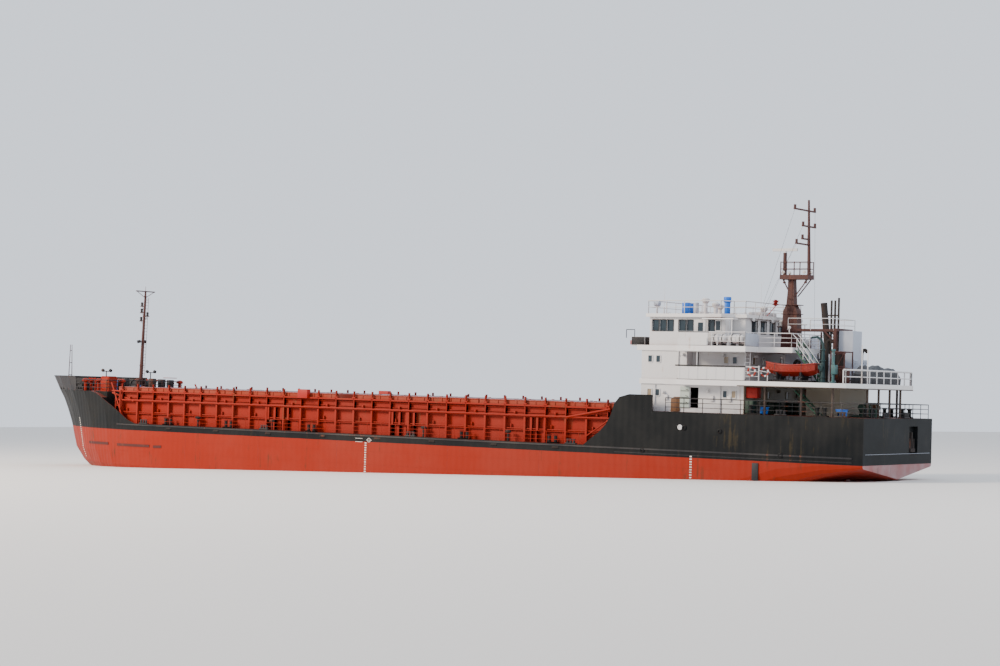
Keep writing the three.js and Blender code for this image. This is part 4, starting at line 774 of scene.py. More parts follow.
# %% Curtained glass
curtain_glass, tree = empty_material("window_glass_curtained")
place = add(tree, "ShaderNodeTexCoord").outputs["Object"]
folds = add(tree, "ShaderNodeTexWave", {"Vector": place, "Scale": 42.0, "Distortion": 1.5, "Detail": 2.0})
# The pale and dark bands are painted shade of the curtain's folds.
cloth = add(tree, "ShaderNodeMix", {0: folds.outputs[1], 6: linear("#6f5f4a"), 7: linear("#a9977b")}, data_type="RGBA")
shader = add(
    tree, "ShaderNodeBsdfPrincipled", {"Base Color": cloth.outputs[2], "Roughness": 0.12, "IOR": 1.52}
)
add(tree, "ShaderNodeOutputMaterial", {"Surface": shader.outputs[0]})

# %% Ports of the two lower tiers
SIDE, OUT = (0, 1, 0), (1, 0, 0)


def ports(name, places, unit, pane=window_glass):
    """Stamps a port at every (x, y, z, normal) and makes one piece of them."""
    bm = bmesh.new()
    for x, y, z, normal in places:
        stamp(bm, unit, facing(at(x, y, z), normal))
    close_up(bm)
    piece = finish_piece(bm, name, white_enamel)
    piece.data.materials.append(pane)
    return piece


small_port = port_unit(0.46, 0.62, 0.1)
TIER_1_Z, TIER_2_Z = 9.3, 11.9
HOUSE = 5.603  # just outside the wall
dark, curtained = [], []
for s in (1, -1):
    for x, shut in ((-26.38, True), (-27.1, False), (-33.0, False), (-33.75, True)):
        (curtained if shut else dark).append((x, s * HOUSE, TIER_1_Z, (0, s, 0)))
    for x, y, shut in ((-26.38, HOUSE, False), (-27.1, HOUSE, False), (-32.55, 4.703, True), (-33.3, 4.703, False)):
        (curtained if shut else dark).append((x, s * y, TIER_2_Z, (0, s, 0)))
for i, y in enumerate((-4.2, -2.5, -0.85, 0.85, 2.5, 4.2)):  # the fore end, over the hatch
    for z in (TIER_1_Z, TIER_2_Z):
        (curtained if (i + int(z)) % 3 == 0 else dark).append((-25.597, y, z, (1, 0, 0)))
for y in (-3.2, -1.6, 1.6, 3.2):  # the after ends
    dark.append((-34.603, y, TIER_1_Z, (-1, 0, 0)))
    curtained.append((-34.103, y, TIER_2_Z, (-1, 0, 0)))
ports("ports_dark", dark, small_port)
ports("ports_curtained", curtained, small_port, curtain_glass)

# %% Rims of the wheelhouse windows


def rim_unit(width, height, corner=0.07, rim=0.07, proud=0.035):
    """A closed ring round an opening of this size."""
    unit = bmesh.new()
    bmesh.ops.create_grid(unit, x_segments=1, y_segments=1, size=0.5)
    bmesh.ops.scale(unit, vec=((width + 2 * rim) * M, (height + 2 * rim) * M, 1.0), verts=unit.verts)
    bmesh.ops.bevel(
        unit, geom=unit.verts[:], offset=corner * M, segments=3, profile=0.5, affect="VERTICES", material=-1
    )
    middle = unit.faces[:]
    bmesh.ops.inset_region(unit, faces=middle, thickness=rim * M, use_boundary=True)
    bmesh.ops.delete(unit, geom=middle, context="FACES_ONLY")
    grown = bmesh.ops.extrude_face_region(unit, geom=unit.faces[:], use_keep_orig=True)["geom"]
    verts = [item for item in grown if isinstance(item, bmesh.types.BMVert)]
    bmesh.ops.translate(unit, vec=(0.0, 0.0, proud * M), verts=verts)
    for face in unit.faces:
        face.material_index = 0
    return unit


WINDOW_Z = 12.953 + 1.55  # middle of the panes above the bridge deck
SIDE_PANES = [(-27.0, -26.42), (-27.65, -27.07), (-28.3, -27.72), (-29.38, -28.76), (-30.03, -29.45), (-31.9, -31.35)]
bm = bmesh.new()
for x0, x1 in SIDE_PANES:
    unit = rim_unit(x1 - x0, 0.86, rim=0.035)
    for s in (1, -1):
        stamp(bm, unit, facing(at((x0 + x1) / 2, s * 5.502, WINDOW_Z), (0, s, 0)))
unit = rim_unit(1.0, 0.86, rim=0.07)
for i in range(9):
    stamp(bm, unit, facing(at(-26.198, (i - 4) * 1.16, WINDOW_Z), (1, 0, 0)))
unit = rim_unit(0.8, 0.86, rim=0.08)
for i in range(5):
    stamp(bm, unit, facing(at(-34.002, (i - 2) * 1.5, WINDOW_Z), (-1, 0, 0)))
close_up(bm)
finish_piece(bm, "wheelhouse_window_rims", black_enamel)

bm = bmesh.new()
for i in range(9):  # wipers on the fore windows
    y = (i - 4) * 1.16
    tube(bm, at(-26.15, y, 15.0), at(-26.14, y + 0.22, 14.35), 0.012 * M, 5)
    block(bm, at(-26.2, y - 0.05, 14.98), at(-26.12, y + 0.05, 15.06), 0.005 * M)
close_up(bm)
finish_piece(bm, "wheelhouse_wipers", soot_enamel)

# %% [markdown]
# ## Decks, dodgers and the wings of the bridge
#
# The white band at each deck is a flat bar welded to the deck's edge. Above it the rails carry dodgers,
# plates that break the wind. The long one on the boat deck has a dark top rail, and a bare board hangs on
# the wing.

# %% Dodgers and boards
bm = bmesh.new()
for s in (1, -1):
    block(bm, at(-35.15, s * 6.61, 10.39), at(-29.45, s * 6.66, 11.34), 0.008 * M)
    for k in range(8):  # stiffeners
        x = -29.6 - 0.78 * k
        block(bm, at(x - 0.02, s * 6.655, 10.42), at(x + 0.02, s * 6.68, 11.3))
    block(bm, at(-31.95, s * 6.62, 13.0), at(-29.45, s * 6.655, 13.95), 0.008 * M)
    block(bm, at(-29.46, s * 5.75, 13.0), at(-29.42, s * 6.64, 13.95), 0.008 * M)
    block(bm, at(-31.9, s * 6.66, 12.98), at(-29.35, s * 6.7, 13.5), 0.01 * M)
    drum(bm, at(-32.7, s * 6.5, 13.0), at(-32.7, s * 6.5, 13.9), 0.05 * M, 8)
close_up(bm)
finish_piece(bm, "bridge_wing_dodgers", white_enamel, smooth=False)

bm = bmesh.new()
for s in (1, -1):
    tube(bm, at(-35.2, s * 6.64, 11.42), at(-29.2, s * 6.64, 11.42), 0.055 * M)
    tube(bm, at(-29.3, s * 6.5, 10.4), at(-35.2, s * 6.5, 10.4), 0.04 * M)
    tube(bm, at(-31.06, s * 6.45, 10.36), at(-31.06, s * 6.45, 12.5), 0.05 * M)
    tube(bm, at(-29.4, s * 6.62, 13.98), at(-32.0, s * 6.62, 13.98), 0.035 * M)
    # the side-light screen that reaches forward of the bridge
    block(bm, at(-25.7, s * 5.3, 12.97), at(-24.5, s * 5.38, 13.6), 0.01 * M)
    block(bm, at(-25.7, s * 4.6, 12.97), at(-25.62, s * 5.3, 13.6), 0.01 * M)
    block(bm, at(-25.7, s * 4.6, 12.92), at(-24.5, s * 5.38, 12.98), 0.01 * M)
    for x in (-24.0, -24.75):
        tube(bm, at(x, s * 5.34, 13.5), at(x, s * 5.34, 14.15), 0.03 * M, 6)
    tube(bm, at(-24.0, s * 5.34, 14.15), at(-24.75, s * 5.34, 14.15), 0.03 * M, 6)
close_up(bm)
finish_piece(bm, "side_light_screens_and_top_rails", black_enamel)

for side, s, code in (("port", 1, "#8c1f1a"), ("starboard", -1, "#1c6b3f")):
    lens = enamel("lamp_lens_" + side, code, rust=0.0, dust=0.02, gloss=0.1, dent=0.0)
    bm = bmesh.new()
    drum(bm, at(-24.4, s * 5.15, 12.98), at(-24.4, s * 5.15, 13.32), 0.13 * M, 14)
    close_up(bm)
    finish_piece(bm, "side_light_" + side, lens)

# %% Doors, handles and steps
bm = bmesh.new()
door_rim = rim_unit(0.74, 1.58, corner=0.16, rim=0.08)
stamp(bm, door_rim, facing(at(-30.34, -5.602, 8.975), (0, -1, 0)))  # to port the leaf closes on the wall itself
block(bm, at(-30.71, -5.625, 8.19), at(-29.97, -5.602, 9.76), 0.008 * M)
wing_door = rim_unit(0.72, 1.84, corner=0.12, rim=0.07)
for s in (1, -1):
    stamp(bm, wing_door, facing(at(-30.73, s * 5.502, 14.0), (0, s, 0)))
close_up(bm)
finish_piece(bm, "doorway_rims", white_enamel)

bm = bmesh.new()
low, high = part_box("poop_door_port")
for z in (0.2, 0.5, 0.8):  # dogs and stiffeners on the leaf that stands open
    y = high[1]
    height = low[2] + (high[2] - low[2]) * z
    block(bm, (low[0] + 0.05 * M, y, height - 0.02 * M), (high[0] - 0.05 * M, y + 0.03 * M, height + 0.02 * M))
    tube(bm, (low[0] + 0.12 * M, y + 0.05 * M, height + 0.07 * M), (low[0] + 0.3 * M, y + 0.05 * M, height + 0.14 * M), 0.02 * M, 6)
    tube(bm, (low[0] + 0.12 * M, y, height + 0.07 * M), (low[0] + 0.12 * M, y + 0.07 * M, height + 0.07 * M), 0.02 * M, 6)
close_up(bm)
finish_piece(bm, "poop_door_dogs", black_enamel, body="poop_door_port")
for side, s in (("port", 1), ("starboard", -1)):
    name = "wheelhouse_door_" + side
    low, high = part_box(name)
    y = high[1] if s > 0 else low[1]
    bm = bmesh.new()
    stamp(bm, port_unit(0.58, 0.84, 0.08), facing(Vector((-30.73 * M, y, 14.38 * M)), (0, s, 0)))
    close_up(bm)
    piece = finish_piece(bm, name + "_window", white_enamel, body=name)
    piece.data.materials.append(window_glass)
    bm = bmesh.new()
    tube(bm, (-31.0 * M, y, 14.0 * M), (-31.0 * M, y + s * 0.06 * M, 14.0 * M), 0.02 * M, 6)
    tube(bm, (-31.02 * M, y + s * 0.06 * M, 14.0 * M), (-30.85 * M, y + s * 0.06 * M, 14.0 * M), 0.02 * M, 6)
    close_up(bm)
    finish_piece(bm, name + "_handle", black_enamel, body=name)

# %% [markdown]
# ## On the wheelhouse roof
#
# Aerials, vents, searchlights and drums crowd the roof. Vents are turned shapes; the tall blue one is
# part of the frame's roof, and gets a cowl round it here.

# %% Vents, aerials and lamps
bm = bmesh.new()
ROOF_Z = 15.413
for x, y, h in ((-29.7, 3.0, 1.35), (-30.6, 3.0, 1.0), (-28.0, -2.5, 1.1), (-32.2, -2.0, 0.9)):
    turned(
        bm,
        [(0, 0), (0.16, 0), (0.16, h - 0.45), (0.3, h - 0.3), (0.33, h - 0.12), (0.18, h - 0.02), (0, h)],
        Matrix.Translation(at(x, y, ROOF_Z)),
        18,
    )
block(bm, at(-33.6, -1.5, ROOF_Z), at(-32.4, 1.0, ROOF_Z + 0.35), 0.05 * M)
for x, y, top in ((-27.38, 5.4, 17.5), (-34.1, 2.2, 18.0), (-26.6, -5.2, 17.6), (-33.4, -4.2, 17.2)):
    tube(bm, at(x, y, ROOF_Z), at(x, y, ROOF_Z + 0.5), 0.05 * M, 8)
    tube(bm, at(x, y, ROOF_Z + 0.4), at(x, y, top), 0.018 * M, 6, 0.008 * M)
close_up(bm)
finish_piece(bm, "roof_vents_and_aerials", white_enamel)

bm = bmesh.new()
for x, y in ((-28.2, 3.4), (-28.0, 2.5)):
    drum(bm, at(x, y, ROOF_Z), at(x, y, ROOF_Z + 0.95), 0.32 * M, 20, 0.12)
    for z in (0.3, 0.62):
        drum(bm, at(x, y, ROOF_Z + z), at(x, y, ROOF_Z + z + 0.04), 0.335 * M, 20, 0.05)
vent_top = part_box("wheelhouse_roof")[1][2] / M
drum(bm, at(-31.4, 2.6, ROOF_Z), at(-31.4, 2.6, vent_top - 0.35), 0.235 * M, 20, 0.03)
drum(bm, at(-31.4, 2.6, vent_top - 0.4), at(-31.4, 2.6, vent_top + 0.03), 0.3 * M, 20, 0.15)
close_up(bm)
finish_piece(bm, "roof_blue_vent_and_drums", blue_enamel)

bm = bmesh.new()
for y in (-5.0, 5.0):  # searchlights at the fore corners of the roof
    tube(bm, at(-26.5, y, ROOF_Z), at(-26.5, y, ROOF_Z + 0.6), 0.06 * M, 8)
    drum(bm, at(-26.75, y, ROOF_Z + 0.78), at(-26.3, y, ROOF_Z + 0.82), 0.24 * M, 20, 0.25)
drum(bm, at(-27.2, 0.0, ROOF_Z), at(-27.2, 0.0, ROOF_Z + 1.1), 0.22 * M, 16, 0.1)
close_up(bm)
finish_piece(bm, "roof_searchlights_and_compass", grey_and_casing_shade_enamel)

bm = bmesh.new()
for k in range(4):  # a small radar reflector with crossed plates
    turn_by = Matrix.Rotation(k * math.pi / 4, 4, "Y")
    spot = Matrix.Translation(at(-34.9, 1.3, 16.45)) @ turn_by
    plate(bm, [(-0.3, -0.3), (0.3, -0.3), (0.3, 0.3), (-0.3, 0.3)], spot @ Matrix.Scale(0.8, 4), 0.015)
tube(bm, at(-34.15, 1.3, ROOF_Z), at(-34.9, 1.3, 16.2), 0.03 * M, 6)
close_up(bm)
finish_piece(bm, "roof_reflector", red_enamel, smooth=False)

# %% [markdown]
# ## The folding foremast
#
# The mast is a tapered tube with a short yard at its head and lamps on shelves. Rungs run up its after
# side. It folds with its own body, so nothing here is tied to the ship.

# %% Foremast
bm = bmesh.new()
tube(bm, at(33.2, 0, 8.48), at(32.92, 0, 17.45), 0.2 * M, 20, 0.09 * M)
drum(bm, at(33.2, -0.5, 8.9), at(33.2, 0.5, 8.9), 0.08 * M, 16)
drum(bm, at(33.2, -0.5, 8.9), at(33.2, -0.45, 8.9), 0.15 * M, 16)
drum(bm, at(33.2, 0.45, 8.9), at(33.2, 0.5, 8.9), 0.15 * M, 16)
for z in (10.3, 12.6, 15.0, 16.9):
    lean = 33.2 - 0.28 * (z - 8.48) / 8.97
    drum(bm, at(lean, 0, z), at(lean - 0.005, 0, z + 0.16), (0.23 - 0.012 * (z - 8.5)) * M, 20)
block(bm, at(32.86, -1.25, 17.42), at(32.98, 1.25, 17.52), 0.015 * M)
for y in (-1.15, 1.15):
    tube(bm, at(32.92, y, 17.45), at(32.93, 0, 16.85), 0.03 * M)
tube(bm, at(32.92, 0, 17.4), at(32.92, 0, 17.95), 0.02 * M)
for k in range(24):
    z = 9.6 + 0.31 * k
    lean = 33.2 - 0.28 * (z - 8.48) / 8.97
    tube(bm, at(lean - 0.3, -0.16, z), at(lean - 0.3, 0.16, z), 0.014 * M, 6)
for y in (-0.16, 0.16):
    tube(bm, at(32.87, y, 9.4), at(32.64, y, 16.9), 0.018 * M, 6)
for z in (10.4, 12.6, 14.8, 16.6):
    lean = 33.2 - 0.28 * (z - 8.48) / 8.97
    for y in (-0.16, 0.16):
        tube(bm, at(lean, y * 0.6, z), at(lean - 0.3, y, z), 0.014 * M, 6)
for x, z in ((0.36, 16.05), (0.36, 15.45), (0.38, 14.65), (-0.42, 15.1)):
    lean = 33.2 - 0.28 * (z - 8.48) / 8.97
    reach = sorted((0.0, x * 1.35))
    block(bm, at(lean + reach[0], -0.15, z - 0.05), at(lean + reach[1], 0.15, z), 0.01 * M)
    tube(bm, at(lean + x, 0, z - 0.05), at(lean, 0, z - 0.4), 0.02 * M, 6)
close_up(bm)
finish_piece(bm, "foremast_dressed", brown_enamel, "foremast", ["foremast"])

bm = bmesh.new()
for x, z in ((0.36, 16.05), (0.36, 15.45), (0.38, 14.65), (-0.42, 15.1)):
    lean = 33.2 - 0.28 * (z - 8.48) / 8.97 + x
    foot = Matrix.Translation(at(lean, 0, z))
    turned(bm, [(0, 0), (0.14, 0), (0.14, 0.05), (0.11, 0.07), (0.11, 0.27), (0.15, 0.29), (0.08, 0.38), (0, 0.4)], foot)
drum(bm, at(33.05, 0.3, 12.7), at(33.3, 0.55, 12.62), 0.14 * M)
drum(bm, at(33.05, -0.3, 12.7), at(33.3, -0.55, 12.62), 0.14 * M)
close_up(bm)
finish_piece(bm, "foremast_lamps", black_enamel, "foremast")

# %% [markdown]
# ## On the forecastle
#
# Two floodlights on T-shaped posts look aft over the hatches. Round the foot of the mast stand the
# drums, a mooring winch and vents. Chain cables run from the windlass to the pipes in the deck, and
# fairleads with rollers sit on the deck's edge.

# %% Floodlights on T-posts
bm = bmesh.new()
for y in (3.0, -3.0):
    tube(bm, at(34.8, y, 7.85), at(34.8, y, 9.78), 0.05 * M, 12)
    tube(bm, at(34.25, y, 9.72), at(35.35, y, 9.72), 0.04 * M, 12)
    for x in (34.3, 35.3):
        drum(bm, at(x + 0.06, y, 9.86), at(x - 0.16, y, 9.76), 0.15 * M, 16, 0.3)
        tube(bm, at(x, y, 9.7), at(x, y, 9.86), 0.03 * M)
close_up(bm)
finish_piece(bm, "forecastle_floodlights", black_enamel)

# %% Drums, vents and a mooring winch round the mast
bm = bmesh.new()
for x, y, r, z0, z1 in (
    (33.6, 1.6, 0.36, 8.1, 9.15), (33.3, 2.5, 0.36, 8.0, 9.0), (34.6, 0.6, 0.4, 7.86, 8.9), (33.2, -1.6, 0.38, 8.0, 9.15),
    (33.1, -2.8, 0.38, 7.9, 9.1), (33.2, -4.1, 0.36, 7.9, 9.05),
):
    drum(bm, at(x, y, z0), at(x, y, z1), r * M, 20, 0.12)
    for z in (z0 + 0.3 * (z1 - z0), z0 + 0.7 * (z1 - z0)):
        drum(bm, at(x, y, z - 0.03), at(x, y, z + 0.03), (r + 0.03) * M, 20)
    block(bm, at(x - 0.42, y - 0.42, 7.86), at(x + 0.42, y + 0.42, 7.96), 0.02 * M)
    tube(bm, at(x - 0.3, y, 7.9), at(x - 0.3, y, z0 + 0.1), 0.05 * M)
    tube(bm, at(x + 0.3, y, 7.9), at(x + 0.3, y, z0 + 0.1), 0.05 * M)
for y in (-1.6, -2.8):
    drum(bm, at(35.0, y - 0.45, 8.45), at(35.0, y + 0.45, 8.45), 0.42 * M, 24)
    for edge in (-0.5, 0.5):
        drum(bm, at(35.0, y + edge - 0.03, 8.45), at(35.0, y + edge + 0.03, 8.45), 0.55 * M, 24)
        block(bm, at(34.6, y + edge * 1.2 - 0.03, 7.86), at(35.4, y + edge * 1.2 + 0.03, 8.5), 0.02 * M)
close_up(bm)
finish_piece(bm, "forecastle_drums_dark", black_enamel)

bm = bmesh.new()
for x, y in ((33.9, 2.2), (34.1, -0.9)):
    drum(bm, at(x, y, 7.86), at(x, y, 8.95), 0.3 * M, 20, 0.15)
    for z in (8.2, 8.6):
        drum(bm, at(x, y, z - 0.03), at(x, y, z + 0.03), 0.32 * M, 20)
close_up(bm)
finish_piece(bm, "forecastle_drums_blue", blue_enamel)

bm = bmesh.new()
cap = [(0, 0), (0.16, 0), (0.16, 0.9), (0.3, 0.86), (0.34, 0.92), (0.3, 1.08), (0.12, 1.16), (0, 1.17)]
for x, y in ((36.6, 3.2), (36.9, -3.2), (37.4, 1.4), (37.4, -1.4), (32.8, 2.9), (32.8, -5.0), (35.9, 4.6), (35.9, -4.6)):
    turned(bm, cap, Matrix.Translation(at(x, y, 7.86)), 20)
for s in (1, -1):
    for z in (8.2, 9.0):
        tube(bm, at(34.9, s * 4.3, z), at(36.1, s * 3.9, z), 0.05 * M)
    for x, y in ((34.9, 4.3), (36.1, 3.9)):
        tube(bm, at(x, s * y, 7.86), at(x, s * y, 9.1), 0.06 * M, 12)
    block(bm, at(32.85, s * 3.65 - 0.02, 9.21), at(33.75, s * 4.65, 9.27) if s > 0 else at(33.75, -4.65, 9.27), 0.015 * M)
close_up(bm)
finish_piece(bm, "forecastle_vents", orange_enamel)

# %% Locker door and its dogs
bm = bmesh.new()
for x0, x1, y in ((32.84, 33.72, 4.705),):
    block(bm, at(x0, y, 8.0), at(x1, y + 0.04, 9.1), 0.012 * M)
    for z in (8.2, 8.55, 8.9):
        block(bm, at(x0 + 0.02, y + 0.03, z - 0.03), at(x0 + 0.16, y + 0.09, z + 0.03), 0.01 * M)
    for z in (8.15, 8.95):
        tube(bm, at(x1 - 0.04, y + 0.05, z - 0.08), at(x1 - 0.04, y + 0.05, z + 0.08), 0.035 * M)
close_up(bm)
finish_piece(bm, "forecastle_locker_door", orange_enamel)

# %% Chain cables and stoppers
LINK = [(0.0, 0.09), (0.07, 0.05), (0.07, -0.05), (0.0, -0.09), (-0.07, -0.05), (-0.07, 0.05)]


def chain(bm, start, end, size=1.0):
    """Links between two points, each turned a quarter against the last."""
    start, end = Vector(start), Vector(end)
    along = end - start
    count = max(2, round(along.length / (0.13 * size * M)))
    frame_at = along.to_track_quat("Y", "Z").to_matrix().to_4x4()
    for k in range(count):
        middle = start + along * ((k + 0.5) / count)
        turn = Matrix.Rotation(math.radians(45 + 90 * (k % 2)), 4, "Y")
        place = Matrix.Translation(middle) @ frame_at @ turn
        corners = [place @ Vector((x * size * M, y * size * M, 0.0)) for x, y in LINK]
        for a, b in zip(corners, corners[1:] + corners[:1]):
            tube(bm, a, b, 0.022 * size * M, 5)


bm = bmesh.new()
for s in (1, -1):
    chain(bm, at(39.7, s * 0.9, 8.75), at(41.6, s * 1.15, 8.02), 1.3)
    drum(bm, at(41.75, s * 1.2, 7.86), at(41.75, s * 1.2, 8.05), 0.28 * M, 20)
    block(bm, at(40.75, s * 1.05 - 0.22, 7.86), at(41.15, s * 1.05 + 0.22, 8.18), 0.03 * M)
close_up(bm)
finish_piece(bm, "anchor_cables", black_enamel)

# %% Fairleads with rollers
bm = bmesh.new()
for deck, places in (
    (7.86, ((36.6, 4.55), (-38.0, 6.15), (-42.7, 5.85))),
    (5.01, ((-19.8, 6.42), (-4.0, 6.42), (12.0, 6.42), (26.5, 6.35))),
):
    for x, y in places:
        for s in (1, -1):
            block(bm, at(x - 0.5, s * y - 0.14, deck), at(x + 0.5, s * y + 0.14, deck + 0.1), 0.02 * M)
            for dx in (-0.3, 0.0, 0.3):
                drum(bm, at(x + dx, s * y, deck + 0.08), at(x + dx, s * y, deck + 0.36), 0.1 * M, 16)
            block(bm, at(x - 0.42, s * y - 0.05, deck + 0.36), at(x + 0.42, s * y + 0.05, deck + 0.41), 0.015 * M)
for y in (1.9, -1.9):
    block(bm, at(-44.6, y - 0.5, 7.86), at(-44.32, y + 0.5, 7.96), 0.02 * M)
    for dy in (-0.3, 0.0, 0.3):
        drum(bm, at(-44.46, y + dy, 7.94), at(-44.46, y + dy, 8.22), 0.1 * M, 16)
    block(bm, at(-44.51, y - 0.42, 8.22), at(-44.41, y + 0.42, 8.27), 0.015 * M)
close_up(bm)
finish_piece(bm, "fairleads", black_enamel)

# %% [markdown]
# ## On the hull's sides
#
# These small things must lie on a curved shell, so each is dropped onto it along the ship's breadth:
# a tree of the hull's faces gives the point and the way the plate faces there. Strakes, draft ticks
# without figures, load-line ring, discharges with their hoods and slots that drain the deck follow.

# %% A tree of the hull's faces
shell_points, shell_faces = [], []
for name in ("hull_mid_body", "hull_fore_body", "hull_aft_body"):
    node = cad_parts[name]
    start = len(shell_points)
    shell_points += [node.matrix_world @ v.co for v in node.data.vertices]
    shell_faces += [[start + i for i in face.vertices] for face in node.data.polygons]
shell = BVHTree.FromPolygons(shell_points, shell_faces)


def on_hull(x, z, s=1):
    """The point of the hull's side at this X and height, and the way it faces."""
    for shift in (0.0, 0.02, -0.02):  # past the joint between two lengths of the hull
        hit, normal, _, _ = shell.ray_cast(at(x + shift, s * 9.0, z), Vector((0.0, -s, 0.0)))
        if hit:
            return hit, normal
    raise ValueError(f"the hull has no side at {x}, {z}")


def strip(bm, x0, x1, z0, z1, s, high, proud=0.03, steps=12):
    """A flat strake on the side, from (x0, z0) to (x1, z1)."""
    rings = []
    for k in range(steps + 1):
        t = k / steps
        x, z = x0 + (x1 - x0) * t, z0 + (z1 - z0) * t
        ring = []
        for dz, out in ((-high / 2, -0.02), (-high / 2, proud), (high / 2, proud), (high / 2, -0.02)):
            hit, normal = on_hull(x, z + dz, s)
            ring.append(bm.verts.new(hit + normal * (out * M)))
        rings.append(ring)
    for a, b in zip(rings, rings[1:]):
        for i in range(4):
            bm.faces.new((a[i], a[(i + 1) % 4], b[(i + 1) % 4], b[i]))
    bm.faces.new(rings[0])
    bm.faces.new(rings[-1])


print("a point on the side:", on_hull(0.0, 3.0)[0])

# %% Struts at the break of the forecastle


def inboard(x, s, z):
    """A point at this height, a little inside the hull's side."""
    return at(x, s * (abs(on_hull(x, 4.8)[0].y) / M - 0.3), z)


bm = bmesh.new()
for s in (1, -1):
    for x0, z0, x1, z1, r in (
        (31.4, 8.7, 29.3, 5.05, 0.07), (31.3, 7.95, 30.0, 7.95, 0.06), (30.0, 5.05, 30.0, 8.0, 0.07),
        (30.7, 5.05, 30.7, 7.5, 0.05), (29.73, 5.8, 30.7, 5.8, 0.03), (30.18, 6.6, 30.7, 6.6, 0.03),
    ):
        tube(bm, inboard(x0, s, z0), inboard(x1, s, z1), r * M, 12)
close_up(bm)
finish_piece(bm, "forecastle_break_struts", orange_enamel)

# %% Strakes and fenders of the shell
bm = bmesh.new()
for s in (1, -1):
    strip(bm, -43.9, 30.0, 4.9, 4.9, s, 0.12, 0.05, 60)
    strip(bm, -43.9, -24.0, 4.58, 4.58, s, 0.05, 0.03, 20)
    for x in (-36.26,):
        block(bm, at(x - 0.26, s * 6.71 - 0.04, 2.95), at(x + 0.26, s * 6.71 + 0.04, 4.25), 0.02 * M)
close_up(bm)
finish_piece(bm, "hull_strakes_black", black_enamel)

bm = bmesh.new()
for s in (1, -1):
    for x0, x1 in ((35.4, 31.4), (30.0, 25.4), (24.9, 23.9)):
        strip(bm, x0, x1, 3.0, 3.03, s, 0.24, 0.04, 10)
close_up(bm)
finish_piece(bm, "hull_strakes_red", rusty_red_enamel)

# %% Draft ticks and load-line ring
bm = bmesh.new()
for s in (1, -1):
    for column, top, bottom in ((0.5, 4.3, 1.7), (-30.78, 4.5, 2.4), (37.3, 5.2, 1.4)):
        z = top
        while z > bottom:
            strip(bm, column - 0.09, column + 0.09, z, z, s, 0.09, 0.004, 1)
            z -= 0.2
    for dz in (0.0, -0.28):
        strip(bm, 0.85, 1.6, 4.66 + dz, 4.66 + dz, s, 0.03, 0.004, 2)
    strip(bm, -0.15, 0.45, 4.55, 4.55, s, 0.03, 0.004, 2)
    hit, normal = on_hull(0.15, 4.55, s)
    ring = [(0.14, -0.004), (0.18, -0.004), (0.18, 0.004), (0.14, 0.004)]
    turned(bm, ring, facing(hit, normal), 24, closed=True)
close_up(bm)
finish_piece(bm, "draft_ticks", mark_paint, smooth=False)

# %% Discharges and scuppers
bm = bmesh.new()
lip = [(0.12, -0.02), (0.2, -0.02), (0.2, 0.05), (0.17, 0.07), (0.12, 0.07)]
pale = bmesh.new()
for x, z in ((-29.79, 6.69), (-30.15, 6.66), (-33.2, 6.5), (-38.3, 4.9), (-26.5, 4.8)):
    for s in (1, -1):
        hit, normal = on_hull(x, z, s)
        turned(pale if x == -29.79 else bm, lip, facing(hit, normal), 20, closed=True)
        if x == -29.79:
            turned(pale, [(0, 0.01), (0.13, 0.01), (0.13, 0.03), (0, 0.05)], facing(hit, normal), 20)
close_up(bm)
finish_piece(bm, "hull_discharges", hull_enamel)
close_up(pale)
finish_piece(pale, "hull_side_light", white_enamel)

bm = bmesh.new()
for s in (1, -1):
    for x in (-18.5, -12.6, -6.4, -0.7, 5.2, 11.3, 17.4, 23.1):
        # The dark strip is painted shade standing in for the slot's opening. The narrow strip below it is its lip.
        strip(bm, x - 0.28, x + 0.28, 4.74, 4.74, s, 0.12, 0.02, 2)
        strip(bm, x - 0.3, x + 0.3, 4.65, 4.65, s, 0.03, 0.08, 2)
close_up(bm)
finish_piece(bm, "deck_scuppers", soot_enamel)

# %% Plate seams
bm = bmesh.new()
for s in (1, -1):
    for x in (-31.0, -17.0, -8.0, 3.6, 12.4, 21.0):
        for z in range(9):
            z = 2.2 + 0.27 * z
            strip(bm, x - 0.012, x + 0.012, z, z, s, 0.26, 0.008, 1)
    for z in (2.5, 3.6):
        strip(bm, -33.0, 30.0, z, z, s, 0.03, 0.008, 40)
close_up(bm)
finish_piece(bm, "hull_weld_seams", hull_enamel)

# %% [markdown]
# ## On the bridge wings and the boat deck
#
# Two life-raft canisters lie on cradles along each wing, ring buoys hang by the gap in the rails, and
# a ladder climbs from the boat deck to the bridge. Plain sheet panels close the after rail of the wing.

# %% Life-raft canisters
bm, straps = bmesh.new(), bmesh.new()
shell_line = [(0, 0), (0.22, 0.0), (0.3, 0.05), (0.34, 0.16), (0.34, 0.58), (0.37, 0.6), (0.37, 0.66), (0.34, 0.68)]
shell_line += [(0.34, 1.1), (0.3, 1.21), (0.22, 1.26), (0, 1.26)]
for x in (-32.05, -33.55):
    for s in (1, -1):
        place = Matrix.Translation(at(x, s * 6.1, 13.5)) @ Matrix.Rotation(math.radians(-90), 4, "Y")
        turned(bm, shell_line, place, 28)
        for dx in (-0.3, -0.98):
            ring = [(0.345, -0.03), (0.36, -0.03), (0.36, 0.03), (0.345, 0.03)]
            turned(straps, ring, Matrix.Translation(Vector((dx * M, 0, 0))) @ place, 28, closed=True)
            block(straps, at(x + dx - 0.05, s * 6.1 - 0.35, 12.96), at(x + dx + 0.05, s * 6.1 + 0.35, 13.12), 0.01 * M)
            for y in (-0.3, 0.3):
                tube(straps, at(x + dx, s * 6.1 + y, 13.1), at(x + dx, s * 6.1 + y * 1.1, 13.42), 0.03 * M)
close_up(bm)
finish_piece(bm, "life_raft_canisters", white_enamel)
close_up(straps)
finish_piece(straps, "life_raft_cradles", black_enamel)

